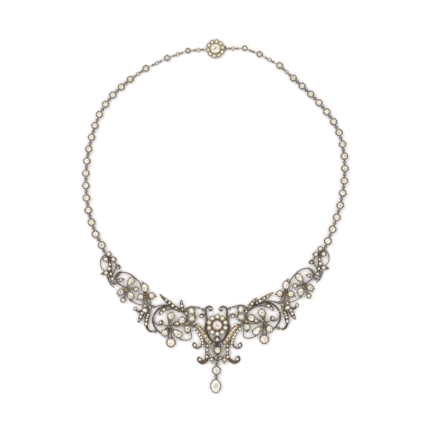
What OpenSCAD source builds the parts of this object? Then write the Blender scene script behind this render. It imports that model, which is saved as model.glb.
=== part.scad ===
// An openwork necklace of stones in collets, lying closed and flat with its back on the surface.
// All sizes are in millimetres. The z axis points up from the surface, y runs from the drop to the
// clasp, and the origin is under the middle of the whole, on the surface.

/* [Metal] */
// Height of the collet feet below the wires
foot_h = 0.4; // [0.3:0.05:0.6]
// Height of the top of the openwork wires above the surface
wire_top = 1.6; // [1.4:0.05:1.9]
// Height of the collet rims above the surface
rim_top = 2.3; // [2.1:0.05:2.6]
// Metal round a stone, seen from above
collet_wall = 0.34; // [0.3:0.01:0.4]

/* [Stones] */
// Gap between a stone and its seat
stone_gap = 0.08; // [0.05:0.01:0.1]
// Height of a stone's crown over its half width
crown_share = 0.34; // [0.25:0.01:0.45]
// Depth of a stone below its girdle over its half width
pavilion_share = 0.8; // [0.7:0.01:0.9]
// Width of the flat table over the width of the stone
table_share = 0.56; // [0.4:0.01:0.7]
// Width of the hole under a stone over the width of the stone
light_share = 0.7; // [0.55:0.01:0.75]
// Half width up to which a seat is left open, for a stone too fine to build
least_stone = 0.6; // [0.58:0.01:0.62]
// Facets round the crown of a stone
stone_sides = 8; // [8:1:10]

/* [Chain] */
// Collets on each side of the chain
chain_count = 16; // [16:1:16]
// Outer radius of the collet next to the back chain
chain_r_back = 1.6; // [1.5:0.01:1.65]
// Outer radius of the collet next to the front
chain_r_front = 1.8; // [1.7:0.01:1.8]
// Height of the chain's collets
chain_rim = 2.6; // [2.4:0.05:2.8]
// How much the spacing of the collets grows towards the front
pitch_growth = 0.04; // [0:0.01:0.06]
// Height of the middle of the links
link_z = 1; // [0.95:0.01:1.05]
// Radius of a link's wire
link_wire = 0.14; // [0.12:0.01:0.15]
// Radius of a jump ring to the middle of its wire
ring_r = 0.55; // [0.53:0.01:0.57]
// Radius of an upright ring of the back chain
back_ring_r = 0.75; // [0.72:0.01:0.78]
// Radius of an open flat ring of the back chain
open_ring_r = 0.85; // [0.8:0.01:0.95]

/* [Clasp] */
// Radius of the wreath of collets round the clasp's middle stone
clasp_wreath_r = 3.25; // [3.2:0.01:3.3]
// Half width of the clasp's middle stone
clasp_stone_r = 1.98; // [1.9:0.01:2]
// Half width of a stone of the wreath
clasp_small_r = 0.75; // [0.7:0.01:0.76]
// Length of the clasp's tongue inside its slot
tongue_l = 3; // [2.6:0.1:3.2]

/* [Front] */
// Half width of the front's middle stone
centre_stone_r = 1.95; // [1.9:0.01:2]
// Radius of the wreath of collets round that stone
wreath_r = 3.85; // [3.8:0.01:3.9]
// Half width of a stone of that wreath
wreath_stone_r = 0.88; // [0.84:0.01:0.9]
// Stones in each wreath
wreath_count = 10; // [10:1:10]

/* [Drop] */
// Half width of the round stone of the drop
drop_round_r = 1.66; // [1.6:0.01:1.7]
// Half width of the oval stone of the drop
drop_oval_rx = 2.1; // [2:0.05:2.15]
// Half length of the oval stone of the drop
drop_oval_ry = 2.85; // [2.75:0.05:2.9]

/* [Hidden] */
$fn = 24;

left = -1;
right = 1;
silver = [0.36, 0.33, 0.28];
gold = [0.55, 0.47, 0.3];
stone_colour = [0.96, 0.93, 0.85];
blush_stone = [0.93, 0.86, 0.86];

// Straight pieces in each stretch of a wire, and points round a pointed or oval collet
wire_steps = 3;
form_sides = 20;
// Height that a seat is open above its ledge
seat_open = 2;
// The upright eyes: radius, hole and thickness, and the bar behind them
eye_r = 0.42;
eye_hole = 0.25;
eye_w = 0.42;
bar_w = 0.3;
// The flat eyes of the back chain: radius, hole, thickness, and the place of the middle past the edge
flat_eye_r = 0.62;
flat_eye_hole = 0.3;
flat_eye_h = 0.32;
flat_eye_at = 0.5;
// Depth that a bar or a post runs into the metal that it is soldered to
solder = 0.3;
// Slack between two links that hang together
link_slack = 0.4;

// Where the middle of the whole lies in the frame of the tables below
middle = [-0.97, 1.53];

// The tables of the front give the right half, from the middle of the neck opening. The left half
// mirrors them, and lies a little lower and further out, as it was laid down.
// Columns of a lay: further out, up, turn, and the place that it turns about
lay_scroll = [0.8, -1.2, -5, [17, -44]];
lay_spray = [1.7, -1.4, -4.3, [34, -32]];
lay_sprig = [2.45, -2.3, -2, [46, -19]];
lay_right = [0, 0, 0, [0, 0]];

// Columns of a wire: width at its start, in its middle and at its end, and the places it runs through
// Columns of a collet: across, up, turn, half length and half width of its stone, reach of the stone's
// point and reach of the collet's point, both 0 where it is round
// Columns of a plate: across, up, radius

// Centre section, right half
centre_wires = [
    // inner curl
    [0.6, 0.5, 0.5, [[5, -46.2], [5.1, -44.2], [5.9, -42.8], [7.2, -42.4], [7.95, -43.2], [7.5, -44.2]]],
    // inner edge of the arm
    [0.75, 0.65, 0.65, [[5.6, -48.8], [4.2, -51.5], [2.9, -53.6], [1.5, -55.1], [0, -56]]],
    // broad ridge of the arm
    [1.4, 2.4, 1.6, [[9.8, -47.1], [8.3, -48.6], [6.6, -50.9], [5.3, -53], [4, -54.8], [2.3, -55.8]]],
    // outer row of the arm
    [1.1, 1.6, 0.8, [[10.2, -48.3], [8.9, -50], [7.7, -51.9], [6.9, -53.8], [6.5, -55.6], [6.4, -57.1]]],
    // curl at the end of the arm
    [0.7, 0.65, 0.5, [
        [6.9, -53.8], [7, -55.9], [7.8, -57.4], [9.2, -57.9], [10.5, -57.4], [11, -56.2], [10.2, -55.1]
    ]],
    // stem
    [1.6, 1.3, 1.3, [[4.4, -54.6], [4.6, -57], [4.7, -59], [4.75, -61.2]]],
    // inner line, crossed over at the middle
    [0.65, 0.6, 0.5, [
        [3.9, -55.6], [2.9, -57.6], [1.6, -59.8], [0, -61.6], [-0.9, -62.7], [-0.75, -63.6], [0.1, -64.1]
    ]],
    // tie between the stem and the middle
    [0.65, 0.6, 0.6, [[4.6, -61.3], [3.4, -61.7], [2, -62], [0.8, -62.2]]],
    // hood over the small stone
    [0.5, 0.5, 0.4, [[0, -52.55], [0.75, -52.75], [1.25, -53.4], [1.3, -54.3]]],
    // bar over the middle collet, and its upper corner
    [0.5, 0.5, 0.5, [[0, -56.7], [0.9, -56.6], [1.6, -56.3]]],
    [0.5, 0.5, 0.4, [[1.5, -56.2], [1.5, -57.1], [1.2, -57.9]]]
];
// The pieces of the centre that were bent by hand differ from side to side
centre_right_wires = [
    // side of the frame, from the top curl down to the arm
    [0.55, 0.75, 0.9, [
        [2.5, -40.7], [1.7, -41.1], [1, -40.4], [1.3, -39.5], [2.5, -39.15], [3.8, -39.6], [4.3, -41],
        [4.3, -43], [4.5, -45], [5.1, -47], [5.6, -49]
    ]],
    // lower scroll
    [1.2, 1, 0.6, [
        [4.75, -60.8], [5.2, -62.6], [6.6, -63.9], [8.2, -64.2], [9.6, -63.4], [9.8, -62], [8.8, -61.4]
    ]],
    // leaf that hangs beside it
    [0.7, 1.1, 0.35, [[3.5, -60.6], [3.35, -61.9], [3.2, -63.4], [3.15, -65.2]]]
];
// These are drawn as for the right and mirrored
centre_left_wires = [
    [0.55, 0.75, 0.9, [
        [3.9, -40.4], [3.1, -41], [2.3, -40.5], [2.5, -39.5], [3.6, -39.05], [4.8, -39.5], [5.2, -40.9],
        [5, -43], [4.8, -45], [5.1, -47], [5.6, -49]
    ]],
    [1.2, 1.3, 0.6, [
        [4.75, -60.8], [4.8, -62.7], [5.7, -64], [7.2, -64.2], [8.3, -63.4], [8.5, -62.3], [7.6, -61.9]
    ]],
    [0.7, 1.1, 0.35, [[3.4, -60.5], [2.9, -61.9], [2.5, -63.3], [2.2, -64.8]]]
];
centre_collets = [
    [10.1, -56.5, 0, 0.65, 0.65, 0, 0],
    [7.1, -43.5, 0, 0.58, 0.58, 0, 0],
    [4.55, -58.6, 0, 0.63, 0.63, 0, 0],
    [4.7, -61.7, 0, 0.58, 0.58, 0, 0]
];
centre_line_collets = [
    [0, -53.95, 0, 0.82, 0.82, 0, 0],
    [0.1, -58.75, -90, 1.3, 1.3, 0, 2.5],
    [-0.6, -62, 0, 0.42, 0.42, 0, 0],
    [1.35, -62.3, 0, 0.42, 0.42, 0, 0],
    [9, -62.7, 0, 0.63, 0.63, 0, 0],
    [-7.8, -62.9, 0, 0.58, 0.58, 0, 0],
    [3.25, -63, 0, 0.63, 0.63, 0, 0],
    [-2.6, -62.8, 0, 0.63, 0.63, 0, 0]
];
centre_plates = [
    [0, -47.5, 2.9],
    [0, -52.6, 0.5],
    [0, -55.4, 0.5],
    [0, -56.6, 0.6],
    [0, -61.7, 0.5],
    [0, -63.7, 0.5],
    [9.6, -48, 1],
    [-9.6, -48, 1]
];
centre_axis = -0.1;

// Scroll section
scroll_wires = [
    // inner arc of the hoop
    [0.65, 0.65, 0.5, [
        [13.1, -45.6], [12.75, -43.7], [13.2, -42], [15, -40.3], [17.4, -39], [19.8, -38.7], [22, -39.1]
    ]],
    // outer arc of the hoop
    [0.6, 0.8, 0.5, [
        [14, -40.8], [15.7, -39.3], [17.8, -37.9], [20.5, -37.2], [23, -37.4], [25.2, -38.3], [27, -40],
        [28.1, -42.2], [28.2, -44.6], [27.3, -46.8], [25.8, -48.6], [24.9, -49.6]
    ]],
    // second wire over the hoop
    [0.9, 0.5, 0.45, [[19, -37.8], [21.6, -36.95], [24.3, -36.7], [26.6, -37.1]]],
    // stem from the flower to the drop collet, a wire on each side
    [0.5, 0.42, 0.5, [[20.9, -47.2], [20.5, -49.3], [20.3, -52]]],
    [0.5, 0.42, 0.5, [[21.3, -47.3], [21.6, -49.3], [22.2, -52.1]]],
    // two wires that hold the small collet
    [0.6, 0.5, 0.5, [[21, -46.2], [19.6, -45.8], [18.5, -45.1], [17.8, -44.4]]],
    [0.5, 0.5, 0.5, [[19.8, -45.9], [18.4, -46.4], [17, -46.7], [16.3, -45.9]]],
    // inner curl and its stem
    [0.6, 0.5, 0.45, [[28.1, -43], [27, -44.8], [25.4, -45.6], [24.1, -45.2], [23.8, -44], [24.6, -43.3]]],
    [0.5, 0.42, 0.42, [[21.6, -46.1], [22.8, -45.9], [24.2, -45.4]]],
    // leaf inside the top of the hoop
    [1.1, 1.4, 0.35, [[21.4, -38.4], [23, -38.9], [24.4, -39.8], [25.1, -41.3]]],
    // square loop
    [0.45, 0.45, 0.5, [
        [11.8, -48.6], [11.6, -50.6], [11.6, -52.2], [12, -53], [12.9, -53.25], [14.7, -53.3], [16.5, -52.8],
        [17.6, -51.9]
    ]],
    // knot
    [0.8, 1.4, 0.7, [[11.7, -45.9], [13.2, -45.9], [14.9, -46.2], [16.5, -46.5]]],
    // arch at the top, with its bar and its column
    [0.6, 0.65, 0.7, [
        [6.5, -39.55], [7.6, -39.1], [9.2, -38.8], [10.8, -38.6], [12.4, -39.1], [13.4, -40.1], [13.9, -41.2]
    ]],
    [0.6, 0.55, 0.6, [
        [8.7, -38.9], [9.2, -40.2], [9.4, -41.8], [9, -43.3], [9.1, -44.7], [10.3, -45.6], [12.2, -45.9]
    ]]
];
// The leaves over the scroll differ from side to side
scroll_right_wires = [
    // lance leaf
    [1.6, 1.75, 0.35, [[17.4, -37.7], [19.5, -36.3], [21.8, -34.9], [23.6, -33.8], [25.1, -32.7]]],
    // upright leaf
    [0.6, 2.1, 0.35, [[13.9, -40.6], [14.7, -38.9], [15.8, -37.4], [17.5, -35.1]]]
];
// These are drawn as for the right and mirrored
scroll_left_wires = [
    [0.9, 1.8, 0.35, [
        [15.5, -40.4], [16.7, -39.3], [18.6, -37.5], [20.5, -35.7], [22.5, -33.8], [24.2, -31.5]
    ]],
    [0.8, 1.8, 0.35, [[14.5, -40.5], [14.6, -38.9], [14.8, -37.2], [14.7, -34.9]]]
];
scroll_collets = [
    [19.9, -41.85, -70, 1.42, 1.42, 0, 4.4],
    [17.4, -50.3, 44, 1.6, 1.45, 2.9, 4.7],
    [23.4, -49.2, 123, 1.36, 1.36, 0, 3],
    [21, -53.8, 0, 1.83, 1.83, 0, 0],
    [17.4, -45.5, 0, 0.72, 0.72, 0, 0],
    [24.9, -44.4, 0, 0.58, 0.58, 0, 0],
    [22.9, -38.8, 0, 0.65, 0.65, 0, 0],
    [15.2, -44.25, 0, 1.42, 1.42, 0, 0],
    [13.1, -48.3, -80, 1.3, 1.3, 0, 2.6],
    [10.5, -40.4, 80, 1.2, 0.95, 0, 0],
    [10.6, -43.8, 0, 1.12, 1.12, 0, 0]
];
scroll_right_collets = [
    [19.1, -36.6, 0, 0.63, 0.63, 0, 0],
    [21, -35.4, 0, 0.55, 0.55, 0, 0],
    [15.45, -37.8, 0, 0.63, 0.63, 0, 0]
];
scroll_left_collets = [
    [18.7, -37.3, 0, 0.63, 0.63, 0, 0],
    [20.1, -35.9, 0, 0.55, 0.55, 0, 0],
    [14.75, -37.8, 0, 0.63, 0.63, 0, 0]
];
scroll_plates = [[21.2, -46.6, 0.95], [12.6, -41.2, 0.7]];

// Spray section: trefoil, leafy stem and medium flower
spray_wires = [
    // tip over the trefoil's upper collet
    [1, 0.75, 0.35, [[31, -28.2], [31.4, -27.4], [31.9, -26.5]]],
    // necks of the trefoil's two lower collets
    [0.9, 0.8, 0.9, [[28.8, -33], [29.8, -32.6], [30.8, -32.4]]],
    [0.9, 0.8, 0.9, [[32.2, -33], [31.4, -32.7], [30.6, -32.4]]],
    // nubs beyond those two collets
    [0.8, 0.6, 0.4, [[26.8, -33.4], [26.3, -33.6], [25.7, -33.9]]],
    [0.8, 0.6, 0.4, [[33.8, -33.9], [34.5, -34.3], [35.2, -34.7]]],
    // left, middle and right wires of the stem
    [1.1, 0.85, 0.6, [
        [30.3, -33], [29.2, -35.2], [28.9, -37.8], [29.2, -40.4], [30, -42.6], [30.5, -44.8], [31, -47]
    ]],
    [0.8, 0.6, 0.7, [[30.4, -33.2], [30.2, -35.4], [30.3, -37.6], [30.3, -39.6], [30.7, -41.5]]],
    [1, 0.75, 0.7, [[30.9, -33], [31.7, -35], [31.9, -37.2], [32.4, -39], [33.3, -40.4]]],
    // long leaf
    [1.3, 1.9, 0.9, [[30.3, -40.6], [30.8, -42.8], [31.3, -45], [31.6, -47]]],
    // side leaf with its second tip
    [1.4, 1.9, 0.35, [[32.6, -40.2], [33.3, -42], [34.1, -43.4], [35.1, -45]]],
    [1, 0.9, 0.35, [[33.3, -41.8], [33.3, -42.8], [33.1, -43.8]]],
    // curl at the stem's foot
    [0.75, 0.7, 0.55, [[31.3, -46.6], [31, -48], [29.9, -49.2], [28.6, -49.3]]],
    // ring curl and its stem
    [0.6, 0.55, 0.8, [[32.7, -39.4], [33.7, -39.9], [34.5, -40], [35.3, -39.4]]],
    // thin wire from the stem to the medium flower
    [0.42, 0.42, 0.42, [[31.9, -37.3], [33.6, -36.9], [35.4, -36.2], [37.2, -35.1]]],
    // hoop of the medium flower
    [0.55, 0.55, 0.7, [
        [32.1, -29.2], [32.5, -28], [33.3, -26.5], [34.8, -24.8], [36.6, -23.1], [38.8, -22.1], [41.2, -21.9],
        [42.9, -23.1], [43.5, -24.8], [42.9, -26.4], [41.3, -27.6], [39.6, -29]
    ]],
    // stem of the small round collet, and the necks of the oval and the right petals
    [0.8, 0.7, 0.8, [[35.5, -29.7], [37, -29.45], [39, -29.3]]],
    [1.1, 0.9, 1.1, [[38, -31.4], [38.6, -30.5], [39.2, -29.6]]],
    [0.9, 0.8, 0.9, [[40.8, -30.2], [40, -29.9], [39.2, -29.5]]],
    // nubs beyond the right petal
    [0.8, 0.55, 0.4, [[42.6, -30.8], [43.2, -31], [43.9, -31.4]]],
    [0.8, 0.55, 0.4, [[42.2, -31.5], [42.6, -32.1], [42.9, -32.7]]],
    // tip under the oval
    [1.6, 1.1, 0.4, [[37.5, -33.8], [37.4, -34.8], [37.3, -35.5]]],
    // wire to the small ring collet
    [0.7, 0.5, 0.6, [[39.5, -29.8], [39.7, -31.4], [40.4, -33.4]]],
    // leaf inside the hoop
    [0.9, 1.2, 0.4, [[43.3, -25.2], [42, -25.3], [40.8, -25.2], [39.6, -24.8]]]
];
spray_collets = [
    [30.8, -29.5, 90, 1.7, 1.33, 0, 0],
    [27.9, -33.25, 0, 1.2, 1.2, 0, 0],
    [33, -33.5, 0, 1.2, 1.2, 0, 0],
    [31.5, -39.6, 20, 1.08, 0.83, 0, 0],
    [32.95, -40.8, 0, 0.58, 0.58, 0, 0],
    [33.6, -42.3, 0, 0.66, 0.66, 0, 0],
    [31.05, -43.9, 0, 0.56, 0.56, 0, 0],
    [31.45, -45.7, 0, 0.66, 0.66, 0, 0],
    [36.6, -25.9, -50, 1.45, 1.3, 2.5, 3.8],
    [34.75, -29.8, 0, 0.88, 0.88, 0, 0],
    [37.4, -32.55, 80, 1.6, 1.25, 0, 0],
    [41.7, -30.65, 0, 1.22, 1.22, 0, 0],
    [41, -34.3, 0, 0.9, 0.9, 0, 0],
    [41.1, -25.2, 0, 0.55, 0.55, 0, 0]
];
spray_plates = [[30.7, -32.4, 1], [39.2, -29.3, 0.95]];
// Ring curl: across, up, outer and inner radius
ring_curl = [35.8, -38.65, 1, 0.6];

// End sprig
sprig_wires = [
    // stem
    [1.8, 2.1, 1.2, [[46.1, -15.4], [45.9, -18], [45.8, -20.6], [45.4, -23], [45, -25.4]]],
    // wire at its left, with the small curl
    [0.7, 0.6, 0.5, [[44, -16], [43.3, -17.6], [43.3, -19.2], [43.9, -20.8], [44.8, -22.4]]],
    [0.6, 0.5, 0.42, [[43.4, -20], [43, -18.6], [42, -18.3], [41.2, -19.2], [41.8, -20.2]]],
    // wire at its right, down to the foot
    [0.7, 0.65, 0.6, [[46.7, -20], [46.8, -22], [47, -23.8], [46.4, -25.4], [45.2, -25.9]]],
    // side loop
    [0.55, 0.45, 0.42, [
        [47.6, -13.6], [48.9, -14.1], [49.9, -15.6], [50.1, -17.6], [49.7, -19.4], [48.8, -20.5], [47.8, -21.2]
    ]],
    // neck of the loop and of the top collet
    [0.8, 0.7, 0.7, [[46.2, -14.4], [47, -14.1], [47.9, -13.6]]],
    // nubs beyond the three round petals
    [0.6, 0.5, 0.35, [[43.3, -15.6], [42.9, -15.6], [42.5, -15.6]]],
    [0.6, 0.5, 0.35, [[48.5, -15.5], [48.9, -15.45], [49.3, -15.4]]],
    [0.8, 0.6, 0.35, [[48.4, -21.7], [49.3, -21.9], [50.3, -22.1]]],
    // tail
    [0.7, 0.5, 0.4, [[46.6, -24.8], [46.2, -26.4], [45.3, -27.6], [44.2, -28.4]]]
];
sprig_collets = [
    [46.2, -13.1, 0, 0.86, 0.86, 0, 0],
    [44.2, -15.6, 0, 0.86, 0.86, 0, 0],
    [47.7, -15.5, 0, 0.86, 0.86, 0, 0],
    [45.9, -17.9, 0, 0.53, 0.53, 0, 0],
    [46.2, -19.8, 0, 0.68, 0.68, 0, 0],
    [45, -24.4, 0, 0.63, 0.63, 0, 0],
    [47.7, -21.6, 0, 0.83, 0.83, 0, 0],
    [42.3, -19.3, 0, 0.45, 0.45, 0, 0]
];
sprig_plates = [[46.1, -15.2, 0.9]];

// Columns of a coupling: across, up, heading, and how far its two bars reach back and ahead. The
// section nearer the centre is behind it.
couplings_right = [
    [5.4, -39.95, 25, 0.9, 0.8],
    [11.05, -46.95, 35, 0.9, 0.9],
    [27.55, -37.4, 0, 0.7, 0.6],
    [27.5, -48.9, -12, 1.1, 0.9],
    [44.3, -26.75, -15, 0.9, 0.8]
];
couplings_left = [
    [-6.6, -40.5, 150, 0.9, 0.9],
    [-11.5, -47.55, 150, 0.9, 0.9],
    [-28.85, -39.16, 180, 0.6, 0.6],
    [-28.05, -50.3, 180, 1.1, 0.7],
    [-46.4, -28.8, 185, 0.6, 0.9]
];
drop_joints = [[-0.35, -65, -95], [-0.6, -70.6, -93]];
drop_round_at = [-0.45, -67.8];
drop_oval_at = [-0.85, -74.8];

// The line of each chain of collets, from the back to the front
route_right = [[34.1, 63.5], [42.1, 56.1], [49.2, 48.2], [54.6, 39.2], [57, 28.5], [57, 17.5], [55.2, 6.6],
    [51.8, -4.2], [49.6, -9.7]];
route_left = [[-39.2, 63], [-47, 56], [-53, 47.3], [-56.6, 37], [-58.7, 26.5], [-59.2, 15.8], [-58.2, 4.9],
    [-54.9, -6.3], [-52, -11.5]];
sprig_joint_right = [48.1, -13.6];
sprig_joint_left = [-50.5, -15.8];
// Columns of a back collet, from the chain to the clasp: across, up, outer radius
back_right = [[27.9, 69.2, 1.6], [18.9, 74.3, 1.45], [12.25, 77, 1.3]];
back_left = [[-32.2, 67.9, 1.6], [-22.6, 72.6, 1.45], [-13.3, 75.9, 1.3]];
clasp_at = [-0.95, 76.75];
clasp_edge = 4.2;
clasp_turn = 81;
clasp_plate_h = 0.6;
clasp_rim = 3.05;
clasp_light_from = 1.22;
slot_h = 0.5;
slot_w = 2.2;
slot_gap = 0.1;
tongue_heading = 3;

// Curves

// A place before the first or after the last of a path lies in line with its end
function place_at(path, k) =
    k < 0 ? 2 * path[0] - path[1]
    : k >= len(path) ? 2 * path[len(path) - 1] - path[len(path) - 2]
    : path[k];

// A smooth curve through four places, between the second and the third
function blend(p, t) =
    (2 * p[1] + (p[2] - p[0]) * t + (2 * p[0] - 5 * p[1] + 4 * p[2] - p[3]) * t * t
        + (3 * p[1] - p[0] - 3 * p[2] + p[3]) * t * t * t) / 2;

function spot(path, u) =
    let (k = max(0, min(floor(u), len(path) - 2)))
    blend([for (i = [-1:2]) place_at(path, k + i)], u - k);

// The direction to the left of the path
function leftward(path, u) =
    let (step = 0.02, d = spot(path, u + step) - spot(path, u - step))
    [-d[1], d[0]] / norm(d);

// Width of a wire at a share of its length, smooth through its three widths
function width_at(wire, f) =
    wire[0] * (1 - f) * (1 - 2 * f) + wire[1] * 4 * f * (1 - f) + wire[2] * f * (2 * f - 1);

function edge(wire, i, hand) =
    let (path = wire[3], u = i / wire_steps, f = u / (len(path) - 1))
    spot(path, u) + hand * leftward(path, u) * width_at(wire, f) / 2;

function wire_plan(wire) =
    let (last = (len(wire[3]) - 1) * wire_steps)
    concat([for (i = [0:last]) edge(wire, i, 1)], [for (i = [last:-1:0]) edge(wire, i, -1)]);

// An oval, or a drop whose point reaches along x
function form(rx, ry, tip, sides, phase = 0) =
    [for (i = [0:sides - 1])
        let (a = 360 * (i + phase) / sides, near = (1 + cos(a)) / 2, sharp = tip > 0 ? 1 : 0)
        [rx * cos(a) + sharp * (tip - rx) * pow(near, 4), ry * sin(a) * (1 - 0.8 * sharp * pow(near, 5))]];

// Places along a route by length: a table for each coordinate
route_samples = 120;
function route_points(path) =
    [for (i = [0:route_samples]) spot(path, i * (len(path) - 1) / route_samples)];
function run_lengths(points) =
    [for (i = 0, run = 0; i < len(points);
        run = run + (i + 1 < len(points) ? norm(points[i + 1] - points[i]) : 0), i = i + 1) run];
function chain_places(path) =
    let (points = route_points(path), runs = run_lengths(points), total = runs[route_samples])
    [for (i = [0:chain_count - 1])
        let (f = i / (chain_count - 1), run = total * (f + pitch_growth * f * (f - 1)))
        [for (axis = [0, 1]) lookup(run, [for (k = [0:route_samples]) [runs[k], points[k][axis]]])]];

function bearing(a, b) = atan2(b[1] - a[1], b[0] - a[0]);
function chain_r(i) = chain_r_back + (chain_r_front - chain_r_back) * i / (chain_count - 1);
function girdle_z(r, ledge, rim) =
    max(ledge + pavilion_share * ((1 - light_share) * r + stone_gap), rim - 0.3);

// Stones and collets

module stone(rx, ry, tip) {
    n = stone_sides;
    small = min(rx, ry);
    table_h = small * crown_share;
    table_ring = [for (p = form(rx, ry, tip, n, 0.5)) [p[0] * table_share, p[1] * table_share, table_h]];
    girdle_ring = [for (p = form(rx, ry, tip, n)) [p[0], p[1], 0]];
    culet = [[0, 0, -small * pavilion_share]];
    table_face = [[for (i = [n - 1:-1:0]) i]];
    crown_low = [for (i = [0:n - 1]) [n + i, i, n + (i + 1) % n]];
    crown_high = [for (i = [0:n - 1]) [n + (i + 1) % n, i, (i + 1) % n]];
    pavilion = [for (i = [0:n - 1]) [n + i, n + (i + 1) % n, 2 * n]];
    polyhedron(
        points = concat(table_ring, girdle_ring, culet),
        faces = concat(table_face, crown_low, crown_high, pavilion)
    );
}

module flat_form(rx, ry, tip) {
    if (tip == 0 && rx == ry) {
        circle(r = rx);
    } else {
        polygon(form(rx, ry, tip, form_sides));
    }
}

module at_row(row) {
    translate([row[0], row[1]]) rotate(row[2]) children();
}

module collet_plan(row) {
    at_row(row)
    flat_form(row[3] + collet_wall, row[4] + collet_wall, row[6]);
}

module seat_plan(row) {
    at_row(row)
    flat_form(row[3] + stone_gap, row[4] + stone_gap, row[5] > 0 ? row[5] + stone_gap : 0);
}

module light_plan(row) {
    at_row(row)
    flat_form(row[3] * light_share, row[4] * light_share, row[5] * light_share);
}

module set_stone(row) {
    rise = girdle_z(min(row[3], row[4]), wire_top, rim_top);
    translate([0, 0, rise])
    at_row(row)
    stone(row[3], row[4], row[5]);
}

module set_stones(rows) {
    color(stone_colour)
    for (row = rows) {
        if (min(row[3], row[4]) > least_stone) {
            set_stone(row);
        }
    }
}

module round_collet(r_stone, r_outer, rim) {
    ledge = rim - (rim_top - wire_top);
    difference() {
        cylinder(r = r_outer, h = rim);
        translate([0, 0, ledge]) cylinder(r = r_stone + stone_gap, h = seat_open);
        translate([0, 0, -seat_open]) cylinder(r = r_stone * light_share, h = rim + seat_open);
    }
}

module round_stone(r_stone, rim) {
    ledge = rim - (rim_top - wire_top);
    translate([0, 0, girdle_z(r_stone, ledge, rim)])
    stone(r_stone, r_stone, 0);
}

// Links

// A link's wire bent to a round ring, lying flat
module ring(r) {
    rotate_extrude() translate([r, 0]) circle(r = link_wire);
}

module flat_ring(at, r) {
    translate([at[0], at[1], link_z]) ring(r);
}

module upright_ring(at, heading, r) {
    translate([at[0], at[1], link_z]) rotate([90, 0, heading]) ring(r);
}

// An upright eye with its bar along x
module eye(at, heading, reach) {
    bar_from = eye_hole + 0.05;
    translate([at[0], at[1], link_z])
    rotate(heading)
    difference() {
        union() {
            rotate([90, 0, 0]) cylinder(r = eye_r, h = eye_w, center = true);
            translate([bar_from, -bar_w / 2, -bar_w / 2]) cube([reach, bar_w, bar_w]);
        }
        rotate([90, 0, 0]) cylinder(r = eye_hole, h = 2 * eye_w, center = true);
    }
}

// A flat eye on a post, soldered at a distance r along x from the middle of a collet
module flat_eye(r, post) {
    middle_x = r + post + flat_eye_at;
    translate([0, 0, link_z])
    difference() {
        union() {
            translate([middle_x, 0, 0]) cylinder(r = flat_eye_r, h = flat_eye_h, center = true);
            translate([r - solder, -bar_w / 2, -bar_w / 2]) cube([post + solder + 0.15, bar_w, bar_w]);
        }
        translate([middle_x, 0, 0]) cylinder(r = flat_eye_hole, h = 2 * flat_eye_h, center = true);
    }
}

// Half of a span of the back chain, without its posts: three rings, or one where it is short
half_span_three = flat_eye_at + 2 * back_ring_r - link_slack + open_ring_r;
half_span_one = flat_eye_at + back_ring_r;
function span_post(a, b) =
    let (free = norm([b[0] - a[0], b[1] - a[1]]) - a[2] - b[2])
    free > 2 * half_span_three ? free / 2 - half_span_three : free / 2 - half_span_one;
function span_is_long(a, b) =
    norm([b[0] - a[0], b[1] - a[1]]) - a[2] - b[2] > 2 * half_span_three;

// The rings between two collets, whose rows are across, up, outer radius
module span_rings(a, b) {
    heading = bearing(a, b);
    half = norm([b[0] - a[0], b[1] - a[1]]) / 2;
    shift = (a[2] - b[2]) / 2;
    translate([(a[0] + b[0]) / 2, (a[1] + b[1]) / 2])
    rotate(heading)
    translate([shift, 0])
    if (span_is_long(a, b)) {
        flat_ring([0, 0], open_ring_r);
        for (hand = [-1, 1]) {
            upright_ring([hand * (open_ring_r + back_ring_r - link_slack), 0], 0, back_ring_r);
        }
    } else {
        upright_ring([0, 0], 0, back_ring_r);
    }
}

module span_eye(a, b) {
    translate([a[0], a[1]]) rotate(bearing(a, b)) flat_eye(a[2], span_post(a, b));
}

// Sides

function side_of(side, if_left, if_right) = side < 0 ? if_left : if_right;
function route(side) = side_of(side, route_left, route_right);
function back(side) = side_of(side, back_left, back_right);
function couplings(side) = side_of(side, couplings_left, couplings_right);
function chain_row(side, i) = let (p = chain_places(route(side))[i]) [p[0], p[1], chain_r(i)];
clasp_row = [clasp_at[0], clasp_at[1], clasp_edge];

module centred() {
    translate([-middle[0], -middle[1], 0]) children();
}

// Puts a piece drawn for the right half where it lies on either side
module lay(side, how) {
    pivot = how[3];
    mirror([side < 0 ? 1 : 0, 0, 0])
    translate([how[0] + pivot[0], how[1] + pivot[1]])
    rotate(how[2])
    translate([-pivot[0], -pivot[1]])
    children();
}

function lay_of(side, how) = side < 0 ? how : lay_right;

// Openwork: collet feet, then wires and collets, then the rims round the seats
module openwork(wires, collets, plates) {
    module collet_plans() {
        for (row = collets) {
            collet_plan(row);
        }
    }
    module light_plans() {
        for (row = collets) {
            light_plan(row);
        }
    }
    linear_extrude(foot_h)
    difference() {
        collet_plans();
        light_plans();
    }
    translate([0, 0, foot_h])
    linear_extrude(wire_top - foot_h)
    difference() {
        union() {
            collet_plans();
            for (wire = wires) {
                polygon(wire_plan(wire));
            }
            for (plate = plates) {
                translate([plate[0], plate[1]]) circle(r = plate[2]);
            }
            children();
        }
        light_plans();
    }
    translate([0, 0, wire_top])
    linear_extrude(rim_top - wire_top)
    difference() {
        collet_plans();
        for (row = collets) {
            seat_plan(row);
        }
    }
}

// The eye of a coupling on the section behind it, and on the one ahead of it
module eye_behind(c) {
    eye([c[0] - ring_r * cos(c[2]), c[1] - ring_r * sin(c[2])], c[2] + 180, c[3]);
}

module eye_ahead(c) {
    eye([c[0] + ring_r * cos(c[2]), c[1] + ring_r * sin(c[2])], c[2], c[4]);
}

// Chains

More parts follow.
